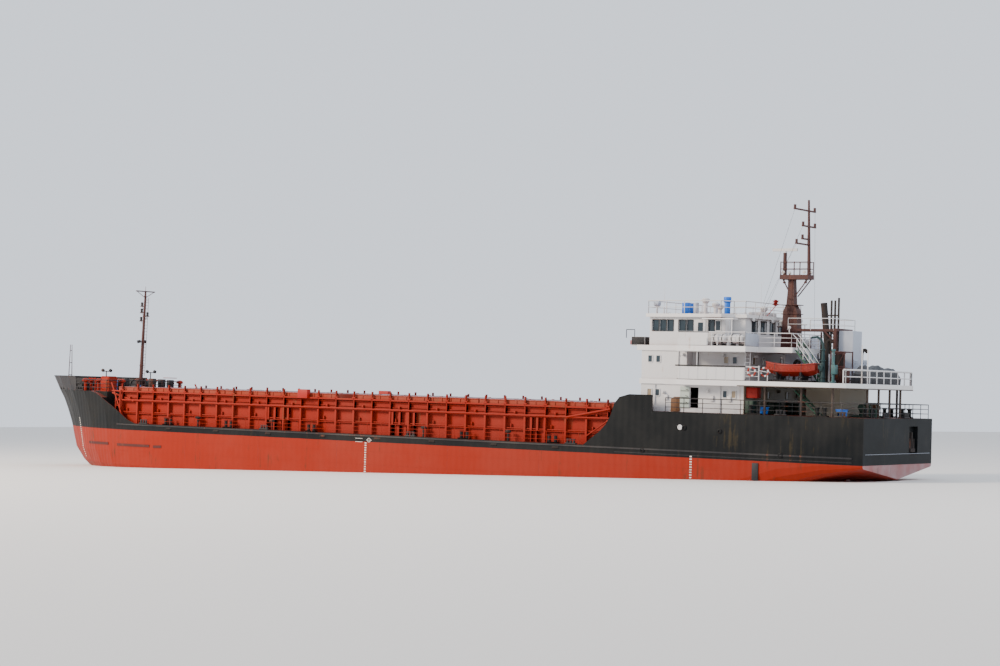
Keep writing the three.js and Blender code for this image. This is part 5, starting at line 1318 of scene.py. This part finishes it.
# %% Ring buoys
ORANGE, WHITE = 0, 1  # quarters of a ring buoy
unit = bmesh.new()
loop = [(0.31 + 0.065 * math.cos(a), 0.065 * math.sin(a)) for a in (math.tau * k / 12 for k in range(12))]
turned(unit, loop, Matrix.Identity(4), 48, closed=True)
close_up(unit)
for face in unit.faces:
    middle = face.calc_center_median()
    if (math.degrees(math.atan2(middle.y, middle.x)) + 360) % 90 < 30:
        face.material_index = WHITE
bm = bmesh.new()
for x, y, z in ((-35.75, 6.66, 11.05), (-36.65, 6.3, 11.05)):
    for s in (1, -1):
        stamp(bm, unit, facing(at(x, s * y, z), (0, s, 0)))
unit.free()
buoys = finish_piece(bm, "ring_buoys", boat_gelcoat)
buoys.data.materials.append(white_enamel)

# %% Ladder, posts and hooks by the boat
bm = bmesh.new()
for s in (1, -1):
    for x in (-34.5, -34.92):
        tube(bm, at(x, s * 5.35, 10.36), at(x, s * 5.35, 13.7), 0.028 * M)
    for k in range(9):
        tube(bm, at(-34.5, s * 5.35, 10.62 + 0.28 * k), at(-34.92, s * 5.35, 10.62 + 0.28 * k), 0.018 * M)
    tube(bm, at(-36.25, s * 6.45, 10.36), at(-36.25, s * 6.45, 11.5), 0.045 * M, 12)
    tube(bm, at(-36.9, s * 6.3, 10.36), at(-36.9, s * 6.3, 11.0), 0.04 * M, 12)
    tube(bm, at(-36.25, s * 6.45, 11.15), at(-37.1, s * 6.25, 11.0), 0.03 * M)
    tube(bm, at(-31.06, s * 6.62, 10.6), at(-31.06, s * 6.62, 12.9), 0.035 * M, 12)
    drum(bm, at(-37.75, s * 4.58, 14.02), at(-37.75, s * 4.58, 14.35), 0.03 * M, 12)
    globe = [(0, 0), (0.09, 0.03), (0.13, 0.12), (0.09, 0.21), (0, 0.24)]
    turned(bm, globe, Matrix.Translation(at(-37.75, s * 4.58, 14.33)), 20)
close_up(bm)
finish_piece(bm, "boat_deck_ladders_posts", white_enamel)

# %% Panels of the after wing rail and a locker
bm = bmesh.new()
for s in (1, -1):
    low, high = sorted((s * 4.66, s * 6.5))
    block(bm, at(-35.12, low, 13.0), at(-35.09, high, 13.92), 0.006 * M)
    for y in (4.66, 5.28, 5.9, 6.5):
        block(bm, at(-35.14, s * y - 0.03, 12.97), at(-35.07, s * y + 0.03, 14.0), 0.006 * M)
    low, high = sorted((s * 3.4, s * 4.25))
    block(bm, at(-34.65, low, 12.96), at(-34.08, high, 13.85), 0.03 * M)
    block(bm, at(-34.67, low + 0.08, 13.02), at(-34.63, high - 0.08, 13.78), 0.01 * M)
close_up(bm)
finish_piece(bm, "wing_after_panels_lockers", grey_and_casing_shade_enamel)

# %% Small lamps on the walls
bm = bmesh.new()
lamp = [(0, 0), (0.13, 0), (0.13, 0.05), (0.1, 0.07), (0.1, 0.2), (0.06, 0.27), (0, 0.29)]
for x, y, z, way in (
    (-27.7, 5.62, 9.32, (0, 1, 0)), (-31.6, 5.62, 9.5, (0, 1, 0)), (-29.35, 5.62, 12.25, (0, 1, 0)),
    (-32.4, 4.72, 12.25, (0, 1, 0)), (-34.12, 3.0, 12.25, (-1, 0, 0)), (-34.62, 3.6, 9.6, (-1, 0, 0)),
    (-34.62, 0.0, 9.6, (-1, 0, 0)), (-25.58, 2.5, 12.4, (1, 0, 0)), (-25.58, 2.5, 9.6, (1, 0, 0)),
    (-36.2, 2.42, 12.2, (0, 1, 0)),
):
    for s in (1, -1):
        turned(bm, lamp, facing(at(x, s * y, z), (way[0], s * way[1], 0)), 20)
for y in (3.6, 0.4, -2.6):
    drum(bm, at(-34.1, y, 15.08), at(-34.32, y, 15.0), 0.12 * M, 16, 0.3)
    tube(bm, at(-34.02, y, 15.1), at(-34.16, y, 15.06), 0.025 * M)
close_up(bm)
finish_piece(bm, "wall_lamps", white_enamel)

# %% Drip ledges, down-pipes and cable runs of the deckhouse
bm = bmesh.new()
for s in (1, -1):
    block(bm, at(-27.6, s * 5.6 if s > 0 else -5.72, 9.96), at(-25.7, s * 5.72 if s > 0 else -5.6, 10.0), 0.008 * M)
    for x, z0, z1, y in ((-28.9, 10.4, 12.5, 5.66), (-32.6, 7.9, 9.9, 5.66), (-26.9, 7.9, 9.9, 5.66)):
        tube(bm, at(x, s * y, z0), at(x, s * y, z1), 0.045 * M, 12)
        for z in (z0 + 0.3, z1 - 0.3):
            low, high = sorted((s * 5.58, s * (y + 0.05)))
            block(bm, at(x - 0.09, low, z - 0.03), at(x + 0.09, high, z + 0.03), 0.006 * M)
    tube(bm, at(-30.5, s * 5.65, 12.42), at(-34.4, s * 4.78, 12.42), 0.025 * M)
    for x in (-27.9, -31.9, -33.4):
        low, high = sorted((s * 5.6, s * 5.74))
        block(bm, at(x - 0.16, low, 8.75), at(x + 0.16, high, 9.15), 0.02 * M)
    for z in (12.5, 12.54):
        strip_low, strip_high = sorted((s * 6.7, s * 6.73))
        block(bm, at(-35.2, strip_low, z), at(-29.3, strip_high, z + 0.03), 0.004 * M)
close_up(bm)
finish_piece(bm, "deckhouse_trim", white_enamel)

# %% [markdown]
# ## The work boat and its davit
#
# The boat has a rubbing strake round the gunwale, a life line in loops along its sides with floats,
# thwarts, and gripes that hold it in its cradle. The davit has a hand winch; a second, lighter
# post stands behind it.

# %% Boat
BOAT_KEEL = 10.78
sections = [(0, 0.5, 0.98), (0.12, 0.72, 0.9), (0.45, 0.8, 0.82), (0.75, 0.7, 0.88), (0.92, 0.34, 0.98), (1, 0.06, 1.06)]
rims = [[(-40.5 + 4.2 * t, 5.35 + side * half, BOAT_KEEL + top) for t, half, top in sections] for side in (1, -1)]
bm = bmesh.new()
for rim in rims:
    for a, b in zip(rim, rim[1:]):
        tube(bm, at(*a), at(*b), 0.05 * M, 10)
for a, b in ((rims[0][0], rims[1][0]), (rims[0][-1], rims[1][-1])):
    tube(bm, at(*a), at(*b), 0.05 * M, 10)
for t in (0.1, 0.8):
    x = -40.5 + 4.2 * t
    block(bm, at(x - 0.13, 4.84, BOAT_KEEL + 0.62), at(x + 0.13, 5.86, BOAT_KEEL + 0.67), 0.01 * M)
block(bm, at(-40.6, 5.2, BOAT_KEEL + 0.3), at(-40.5, 5.5, BOAT_KEEL + 0.9), 0.02 * M)
close_up(bm)
finish_piece(bm, "work_boat_strake_thwarts", boat_gelcoat)

bm = bmesh.new()
for side, rim in zip((1, -1), rims):
    points = []
    for k in range(13):
        t = 0.04 + 0.9 * k / 12
        i = max(j for j, row in enumerate(sections[:-1]) if row[0] <= t)
        (t0, half0, top0), (t1, half1, top1) = sections[i], sections[i + 1]
        u = (t - t0) / (t1 - t0)
        half, top = half0 + (half1 - half0) * u, top0 + (top1 - top0) * u
        points.append((-40.5 + 4.2 * t, 5.35 + side * (half + 0.035), BOAT_KEEL + top - 0.2))
    for a, b in zip(points, points[1:]):
        low = ((a[0] + b[0]) / 2, (a[1] + b[1]) / 2 + side * 0.01, (a[2] + b[2]) / 2 - 0.13)
        tube(bm, at(*a), at(*low), 0.009 * M, 6)
        tube(bm, at(*low), at(*b), 0.009 * M, 6)
        drum(bm, at(low[0] - 0.04, low[1], low[2]), at(low[0] + 0.04, low[1], low[2]), 0.028 * M, 12)
close_up(bm)
finish_piece(bm, "work_boat_life_line", cover_enamel)

bm = bmesh.new()
for x in (-39.6, -37.4):
    for y0, y1 in ((4.5, 4.42), (6.2, 6.28)):
        tube(bm, at(x, y0, 11.62), at(x, y1, 10.5), 0.02 * M)
    tube(bm, at(x, 4.5, 11.66), at(x, 6.2, 11.66), 0.025 * M)
    for z in (10.42, 10.72):
        tube(bm, at(x - 0.02, 4.55, z), at(x - 0.02, 6.15, z), 0.05 * M, 12)
for y in (4.75, 5.95):
    tube(bm, at(-40.3, y, 10.45), at(-36.7, y, 10.45), 0.06 * M, 12)
    for x in (-39.2, -38.4, -37.7):
        tube(bm, at(x, y, 10.36), at(x, y * 0.5 + 2.67, 10.95), 0.035 * M)
close_up(bm)
finish_piece(bm, "boat_cradle_dressed", black_enamel)

# %% Davit
bm = bmesh.new()
drum(bm, at(-40.95, 5.6, 11.5), at(-40.95, 5.78, 11.5), 0.15 * M, 20)
for y in (5.6, 5.78):
    drum(bm, at(-40.95, y - 0.02, 11.5), at(-40.95, y + 0.02, 11.5), 0.21 * M, 20)
tube(bm, at(-40.95, 5.8, 11.5), at(-40.95, 5.86, 11.5), 0.03 * M)
tube(bm, at(-40.95, 5.86, 11.5), at(-40.78, 5.86, 11.68), 0.03 * M)
block(bm, at(-41.12, 5.5, 11.2), at(-40.78, 5.6, 11.8), 0.03 * M)
for z in (10.75, 12.0, 12.8):
    drum(bm, at(-40.95, 5.35, z - 0.05), at(-40.95, 5.35, z + 0.05), (0.26 - 0.03 * (z - 10.4)) * M, 20)
close_up(bm)
finish_piece(bm, "davit_hand_winch", teal_enamel, "boat_davit")

bm = bmesh.new()
tube(bm, at(-41.72, 5.2, 10.36), at(-41.72, 5.2, 12.75), 0.11 * M, 16, 0.1 * M)
drum(bm, at(-41.72, 5.2, 12.7), at(-41.72, 5.2, 12.86), 0.15 * M, 16)
drum(bm, at(-41.72, 5.2, 10.36), at(-41.72, 5.2, 10.46), 0.24 * M, 16)
block(bm, at(-42.0, 5.0, 11.0), at(-41.62, 5.4, 11.7), 0.04 * M)
tube(bm, at(-41.75, 5.35, 12.0), at(-42.1, 5.6, 11.4), 0.04 * M)
close_up(bm)
finish_piece(bm, "capstan_post_teal", light_teal_enamel)

# %% [markdown]
# ## Round the engine casing
#
# Doors and louvres on the casing's sides, swan-neck vents beside it, a rail on its top, coils of hose
# on the reel, and a lattice of brackets in front of the after corner.

# %% Louvres and doors
bm = bmesh.new()
for s in (1, -1):
    side = 2.0
    for x0, x1, z0, z1 in ((-37.9, -36.7, 11.0, 12.2), (-39.8, -38.9, 11.2, 12.3)):
        low, high = sorted((s * side, s * (side + 0.05)))
        block(bm, at(x0, low, z0), at(x1, high, z1), 0.01 * M)
        for k in range(9):
            z = z0 + 0.08 + k * (z1 - z0 - 0.12) / 9
            low, high = sorted((s * (side + 0.04), s * (side + 0.1)))
            block(bm, at(x0 + 0.06, low, z), at(x1 - 0.06, high, z + 0.045), 0.008 * M)
    low, high = sorted((s * side, s * (side + 0.06)))
    block(bm, at(-38.7, low, 10.5), at(-38.0, high, 12.35), 0.02 * M)
    for z in (10.8, 11.4, 12.0):
        low, high = sorted((s * (side + 0.05), s * (side + 0.1)))
        block(bm, at(-38.68, low, z), at(-38.5, high, z + 0.06), 0.01 * M)
for y0, y1 in ((0.1, 0.8), (-1.5, -0.6)):
    block(bm, at(-41.36, y0, 10.9), at(-41.31, y1, 12.2), 0.01 * M)
    for k in range(10):
        block(bm, at(-41.41, y0 + 0.05, 10.98 + 0.12 * k), at(-41.34, y1 - 0.05, 11.03 + 0.12 * k), 0.008 * M)
close_up(bm)
finish_piece(bm, "casing_louvres", grey_and_casing_shade_enamel)

# %% Swan-neck vents and pipes
bm = bmesh.new()
for x, y, top, r in ((-39.9, 2.55, 13.2, 0.14), (-37.2, 2.5, 11.6, 0.11), (-36.6, -2.6, 12.2, 0.13), (-40.4, -2.6, 12.6, 0.13)):
    tube(bm, at(x, y, 10.36), at(x, y, top), r * M, 16)
    drum(bm, at(x, y, 10.36), at(x, y, 10.46), 1.6 * r * M, 16)
    last = at(x, y, top)
    for k in range(1, 8):
        a = math.radians(150 * k / 7)
        point = at(x - 0.25 * (1 - math.cos(a)), y, top + 0.25 * math.sin(a) * 1.6)
        tube(bm, last, point, r * M, 16)
        last = point
tube(bm, at(-39.3, 2.3, 10.4), at(-39.3, 2.3, 14.2), 0.07 * M, 12)
tube(bm, at(-39.05, 2.25, 10.4), at(-39.05, 2.25, 12.6), 0.05 * M, 12)
close_up(bm)
finish_piece(bm, "casing_vents", soot_enamel)

# %% Rail on the casing top
railing("rails_casing", [(-36.3, 1.9), (-40.1, 1.9), (-40.1, -1.9), (-36.3, -1.9)], 14.35 * M, white_enamel, (), 2, 0.9, 1.9, 0.02)

# %% Hose reel and lattice
bm = bmesh.new()
for level in range(14):
    z = 10.78 + 0.062 * level if level < 12 else 11.62
    ring = [(0.36 + 0.035 * math.cos(a), 0.035 * math.sin(a)) for a in (math.tau * k / 8 for k in range(8))]
    turned(bm, ring, Matrix.Translation(at(-41.2, 3.0, z)), 28, closed=True)
for level in range(12):
    ring = [(0.36 + 0.035 * math.cos(a), 0.035 * math.sin(a)) for a in (math.tau * k / 8 for k in range(8))]
    turned(bm, ring, Matrix.Translation(at(-41.2, 3.0, 11.72 + 0.066 * level)), 28, closed=True)
close_up(bm)
finish_piece(bm, "hose_coils", soot_enamel)

bm = bmesh.new()
posts = ((-40.75, 3.6), (-41.9, 3.7), (-42.0, 2.5), (-40.7, 2.45))
for (x, y), (x2, y2) in zip(posts, posts[1:] + posts[:1]):
    tube(bm, at(x, y, 10.36), at(x, y, 12.75), 0.05 * M, 10)
    for z in (10.6, 12.7):
        tube(bm, at(x, y, z), at(x2, y2, z), 0.04 * M, 10)
tube(bm, at(-40.75, 3.6, 10.6), at(-41.9, 3.7, 12.7), 0.03 * M)
for x, y in ((-41.95, 4.1), (-42.35, 4.3)):
    drum(bm, at(x, y, 10.36), at(x, y, 11.35), 0.26 * M, 20)
    drum(bm, at(x, y, 11.3), at(x, y, 11.5), 0.3 * M, 20)
close_up(bm)
finish_piece(bm, "reel_lattice", brown_enamel)

# %% [markdown]
# ## Mast and stairs
#
# The main mast has a ladder, lamps on brackets and hooks under the platform. Halyards run from the
# yards to the rail of the bridge.

# %% Main mast
bm = bmesh.new()
for x in (-35.52, -35.86):
    tube(bm, at(x, 0.56, 13.0), at(x, 0.5, 18.3), 0.022 * M)
for k in range(17):
    z = 13.25 + 0.3 * k
    tube(bm, at(-35.52, 0.56 - 0.011 * (z - 13), z), at(-35.86, 0.56 - 0.011 * (z - 13), z), 0.016 * M)
for z in (13.6, 15.2, 16.8, 18.1):
    for x in (-35.52, -35.86):
        tube(bm, at(x, 0.56 - 0.011 * (z - 13), z), at(-35.69, 0.15, z), 0.018 * M, 6)
for x in (-36.9, -35.1):
    tube(bm, at(x, 0.35, 18.38), at(x, 0.3, 18.1), 0.03 * M)
    drum(bm, at(x, 0.2, 18.08), at(x, 0.42, 18.08), 0.09 * M, 16)
tube(bm, at(-36.0, 0.25, 17.0), at(-37.1, 0.3, 18.36), 0.05 * M, 10)
tube(bm, at(-36.0, -0.25, 17.0), at(-37.1, -0.3, 18.36), 0.05 * M, 10)
tube(bm, at(-35.5, 0.2, 17.3), at(-34.95, 0.3, 18.36), 0.05 * M, 10)
for z in (14.3, 15.6, 16.3):
    block(bm, at(-36.42, -0.46, z), at(-34.96, 0.46, z + 0.06), 0.01 * M)
block(bm, at(-34.95, -0.3, 14.6), at(-34.55, 0.3, 14.68), 0.01 * M)
close_up(bm)
finish_piece(bm, "main_mast_ladder_brackets", brown_enamel)

bm = bmesh.new()
turned(bm, [(0, 0), (0.2, 0), (0.2, 0.06), (0.15, 0.08), (0.15, 0.34), (0.2, 0.37), (0.1, 0.48), (0, 0.5)],
       Matrix.Translation(at(-34.75, 0, 14.68)), 24)
for x, y in ((-36.9, 0.48), (-35.1, 0.48), (-36.9, -0.48), (-35.1, -0.48)):
    drum(bm, at(x, y, 18.9), at(x, y + (0.16 if y > 0 else -0.16), 18.82), 0.12 * M, 16, 0.3)
close_up(bm)
finish_piece(bm, "main_mast_lamps", mark_paint)

bm = bmesh.new()
for start, end in (
    ((-36.93, 2.5, 23.55), (-35.1, 5.2, 14.0)), ((-36.93, 1.1, 22.35), (-35.1, 4.9, 14.0)),
    ((-36.93, 2.1, 20.95), (-35.1, 5.6, 14.0)), ((-36.93, -1.0, 23.55), (-35.1, -5.2, 14.0)),
):
    tube(bm, at(*start), at(*end), 0.009 * M, 6)
close_up(bm)
finish_piece(bm, "mast_halyards", soot_enamel)

# %% Handrails of the stairs
bm = bmesh.new()
for y in (3.56, 4.44, -3.56, -4.44)[:2]:
    for lift in (0.85, 0.45):
        tube(bm, at(-40.1, y, 10.55 + lift), at(-38.3, y, 12.8 + lift), 0.03 * M)
    for t in (0.05, 0.37, 0.68, 0.98):
        x, z = -40.1 + 1.8 * t, 10.5 + 2.3 * t
        tube(bm, at(x, y, z), at(x, y, z + 0.92), 0.028 * M)
    tube(bm, at(-38.3, y, 13.65), at(-37.96, y, 13.98), 0.03 * M)
close_up(bm)
finish_piece(bm, "bridge_stair_handrails", white_enamel)

# %% [markdown]
# ## After part of the wheelhouse wall
#
# The side wall has one more pane behind the pair, on the port and the starboard side alike.

# %% One more pane
pane_unit = port_unit(0.52, 0.84, 0.07)
ports("wheelhouse_after_panes", [(-32.22, s * 5.502, WINDOW_Z, (0, s, 0)) for s in (1, -1)], pane_unit)

# %% [markdown]
# ## Tarpaulin over the stores
#
# The heap at the stern is covered by one sheet. It lies on the heap, hangs to the deck all round and is
# lashed down, so it falls in narrow folds at the sides and is gathered at the corners.

# %% Tarpaulin
low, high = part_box("covered_stores")
store = bpy.data.objects["covered_stores"]
heap = BVHTree.FromPolygons([v.co for v in store.data.vertices], [p.vertices[:] for p in store.data.polygons])
INSET, NX, NY, SKIRT = 0.0035, 16, 96, 5
deck_z = BOAT_DECK + 0.002
bm = bmesh.new()
rows = []
for i in range(-SKIRT, NX + SKIRT + 1):
    row = []
    for j in range(-SKIRT, NY + SKIRT + 1):
        u, v = min(max(i / NX, 0.0), 1.0), min(max(j / NY, 0.0), 1.0)
        x = low[0] + INSET + (high[0] - low[0] - 2 * INSET) * u
        y = low[1] + INSET + (high[1] - low[1] - 2 * INSET) * v
        hit = heap.ray_cast(Vector((x, y, 3.0)), Vector((0, 0, -1)))[0]
        top = max(deck_z, (hit.z if hit else deck_z) - 0.004)
        sag = 0.0035 * (1 + math.sin(y * 61 + 2.1 * math.sin(x * 50))) * (0.5 + 0.5 * math.sin(x * 70 + y * 23))
        drop = max(-i, i - NX, -j, j - NY, 0) / SKIRT
        z = deck_z + max(0.0, top - sag - deck_z) * (1 - drop)
        pull = 0.0045 * drop * (0.5 + 0.5 * math.sin((x + y) * 190 + 3 * math.sin(y * 37)))
        centre_x, centre_y = (low[0] + high[0]) / 2, (low[1] + high[1]) / 2
        x -= math.copysign(pull, x - centre_x)
        y -= math.copysign(pull, y - centre_y)
        row.append(bm.verts.new((x, y, z)))
    rows.append(row)
for a, b in zip(rows, rows[1:]):
    for k in range(len(a) - 1):
        bm.faces.new((a[k], b[k], b[k + 1], a[k + 1]))
bmesh.ops.remove_doubles(bm, verts=bm.verts, dist=0.0002)
bmesh.ops.dissolve_degenerate(bm, dist=0.0002, edges=bm.edges)
bmesh.ops.recalc_face_normals(bm, faces=bm.faces)
cut_area = sum(face.calc_area() for face in bm.faces)
bmesh.ops.solidify(bm, geom=bm.faces[:], thickness=0.0008)
bmesh.ops.recalc_face_normals(bm, faces=bm.faces)
sheet_piece = finish_piece(bm, "covered_stores_tarpaulin", tarpaulin, replaced=["covered_stores"])
print("area of the tarpaulin's cut:", round(cut_area, 4))

# %% [markdown]
# ## Gear under the boat deck
#
# The shelter behind the deckhouse is where small gear is kept: a red box for the fire hose, a green
# locker, a blue tub, drums and a stack of battens. The ways between them stay open.

# %% Boxes and tubs
bm = bmesh.new()
for s in (1, -1):
    low_y, high_y = sorted((s * 4.75, s * 5.4))
    block(bm, at(-35.62, low_y, 9.07), at(-34.66, high_y, 9.88), 0.04 * M)
    low_y, high_y = sorted((s * 5.4, s * 5.43))
    block(bm, at(-35.52, low_y, 9.16), at(-34.76, high_y, 9.79), 0.02 * M)
    block(bm, at(-35.2, sorted((s * 5.43, s * 5.47))[0], 9.42), at(-35.08, sorted((s * 5.43, s * 5.47))[1], 9.52), 0.01 * M)
close_up(bm)
finish_piece(bm, "fire_hose_boxes", red_enamel)

bm = bmesh.new()
for s in (1, -1):
    low_y, high_y = sorted((s * 4.9, s * 5.5))
    block(bm, at(-35.38, low_y, 7.88), at(-34.66, high_y, 8.95), 0.03 * M)
    for x in (-35.34, -35.0):
        low_y, high_y = sorted((s * 5.5, s * 5.53))
        block(bm, at(x, low_y, 7.96), at(x + 0.3, high_y, 8.88), 0.015 * M)
    for y in (0.6, -0.6):
        drum(bm, at(-35.1, s * 1.6 + y, 7.87), at(-35.1, s * 1.6 + y, 8.75), 0.29 * M, 24, 0.1)
close_up(bm)
finish_piece(bm, "green_lockers", winch_enamel)

bm = bmesh.new()
tub = [(0, 0.04), (0.3, 0.0), (0.36, 0.03), (0.44, 0.5), (0.48, 0.52), (0.48, 0.56), (0.42, 0.56), (0.35, 0.08), (0, 0.08)]
turned(bm, tub, Matrix.Translation(at(-36.15, 5.42, 7.87)), 32)
turned(bm, tub, Matrix.Translation(at(-42.55, 5.35, 7.87)), 32)
turned(bm, tub, Matrix.Translation(at(-36.4, -5.3, 7.87)), 32)
close_up(bm)
finish_piece(bm, "blue_tubs", blue_enamel)

bm = bmesh.new()
for k in range(5):
    lean = 0.03 * k
    block(bm, at(-29.12 + 0.06 * k, 5.64 + lean * 0.5, 7.87), at(-28.6 + 0.06 * k, 5.67 + lean * 0.5, 9.0 - 0.04 * k), 0.01 * M)
for k in range(4):
    for r in range(3):
        block(bm, at(-34.9 - 0.02 * r, -3.6 + 0.22 * k, 7.87 + 0.07 * r), at(-34.68, -3.42 + 0.22 * k, 7.93 + 0.07 * r), 0.006 * M)
close_up(bm)
finish_piece(bm, "battens", wood_planks)

# %% Pale line across the transom
bm = bmesh.new()
block(bm, at(-44.76, -5.9, 5.19), at(-44.74, 5.9, 5.212))
finish_piece(bm, "transom_line", grey_and_casing_shade_enamel)

# %% [markdown]
# ## Zincs of the rudders
#
# Sacrificial zinc blocks are bolted on the rudders. They corrode instead of the steel.

# %% Zinc blocks
for name in ("rudder_port", "rudder_starboard"):
    low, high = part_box(name)
    middle = (low + high) / 2 if isinstance(low, Vector) else Vector([(a + b) / 2 for a, b in zip(low, high)])
    bm = bmesh.new()
    for dz in (-0.05, 0.03):
        for side in (-1, 1):
            edge = low[1] if side < 0 else high[1]
            inner, outer = sorted((edge - side * 0.006, edge + side * 0.001))
            block(bm, (middle.x + 0.012, inner, middle.z + dz), (middle.x + 0.05, outer, middle.z + dz + 0.014), 0.002)
    close_up(bm)
    finish_piece(bm, name + "_zincs", zinc_metal, body=name)

# %% [markdown]
# ## Small things on the decks
#
# Seen from above, the decks are not bare: welded stays brace the bulwark of the bow, and the roof of the
# wheelhouse has cable trays, a hatch and eyes for the aerial wires.

# %% Stays of the bow bulwark
bm = bmesh.new()
bulwark = bpy.data.objects["forecastle_bulwark"]
wall = BVHTree.FromPolygons([v.co for v in bulwark.data.vertices], [p.vertices[:] for p in bulwark.data.polygons])
for s in (1, -1):
    for x in (36.9, 38.1, 39.3, 40.5, 41.7):
        hit, normal, _, _ = wall.ray_cast(at(x, s * 0.3, 8.5), Vector((0.0, s, 0.0)))
        if hit is None:
            continue
        y = abs(hit.y) / M
        for k in range(3):  # a tapered plate in three steps
            inner, outer = y - 0.34 + 0.1 * k, y - 0.01
            low_y, high_y = sorted((s * inner, s * outer))
            block(bm, at(x - 0.02, low_y, 7.87 + 0.27 * k), at(x + 0.02, high_y, 8.14 + 0.27 * k), 0.004 * M)
close_up(bm)
finish_piece(bm, "bulwark_stays", black_enamel)

# %% Eyes and cable trays on the wheelhouse roof
bm = bmesh.new()
for y in (-4.2, 4.2):
    block(bm, at(-33.0, y - 0.1, 15.42), at(-27.0, y + 0.1, 15.47), 0.01 * M)
    for k in range(7):
        block(bm, at(-32.8 + 0.95 * k, y - 0.13, 15.41), at(-32.72 + 0.95 * k, y + 0.13, 15.5), 0.01 * M)
block(bm, at(-30.1, -1.4, 15.41), at(-29.3, -0.6, 15.66), 0.04 * M)
block(bm, at(-30.16, -1.46, 15.62), at(-29.24, -0.54, 15.7), 0.03 * M)
block(bm, at(-28.9, 0.9, 15.41), at(-28.3, 1.5, 15.75), 0.04 * M)
for x, y in ((-26.6, 3.2), (-26.6, -3.2), (-33.6, 3.8), (-33.6, -3.8)):
    ring = [(0.09 + 0.02 * math.cos(a), 0.02 * math.sin(a)) for a in (math.tau * k / 8 for k in range(8))]
    turned(bm, ring, Matrix.Translation(at(x, y, 15.53)) @ Matrix.Rotation(math.radians(90), 4, "X"), 16, closed=True)
    block(bm, at(x - 0.06, y - 0.06, 15.41), at(x + 0.06, y + 0.06, 15.45), 0.01 * M)
close_up(bm)
finish_piece(bm, "roof_trays_and_eyes", white_enamel)
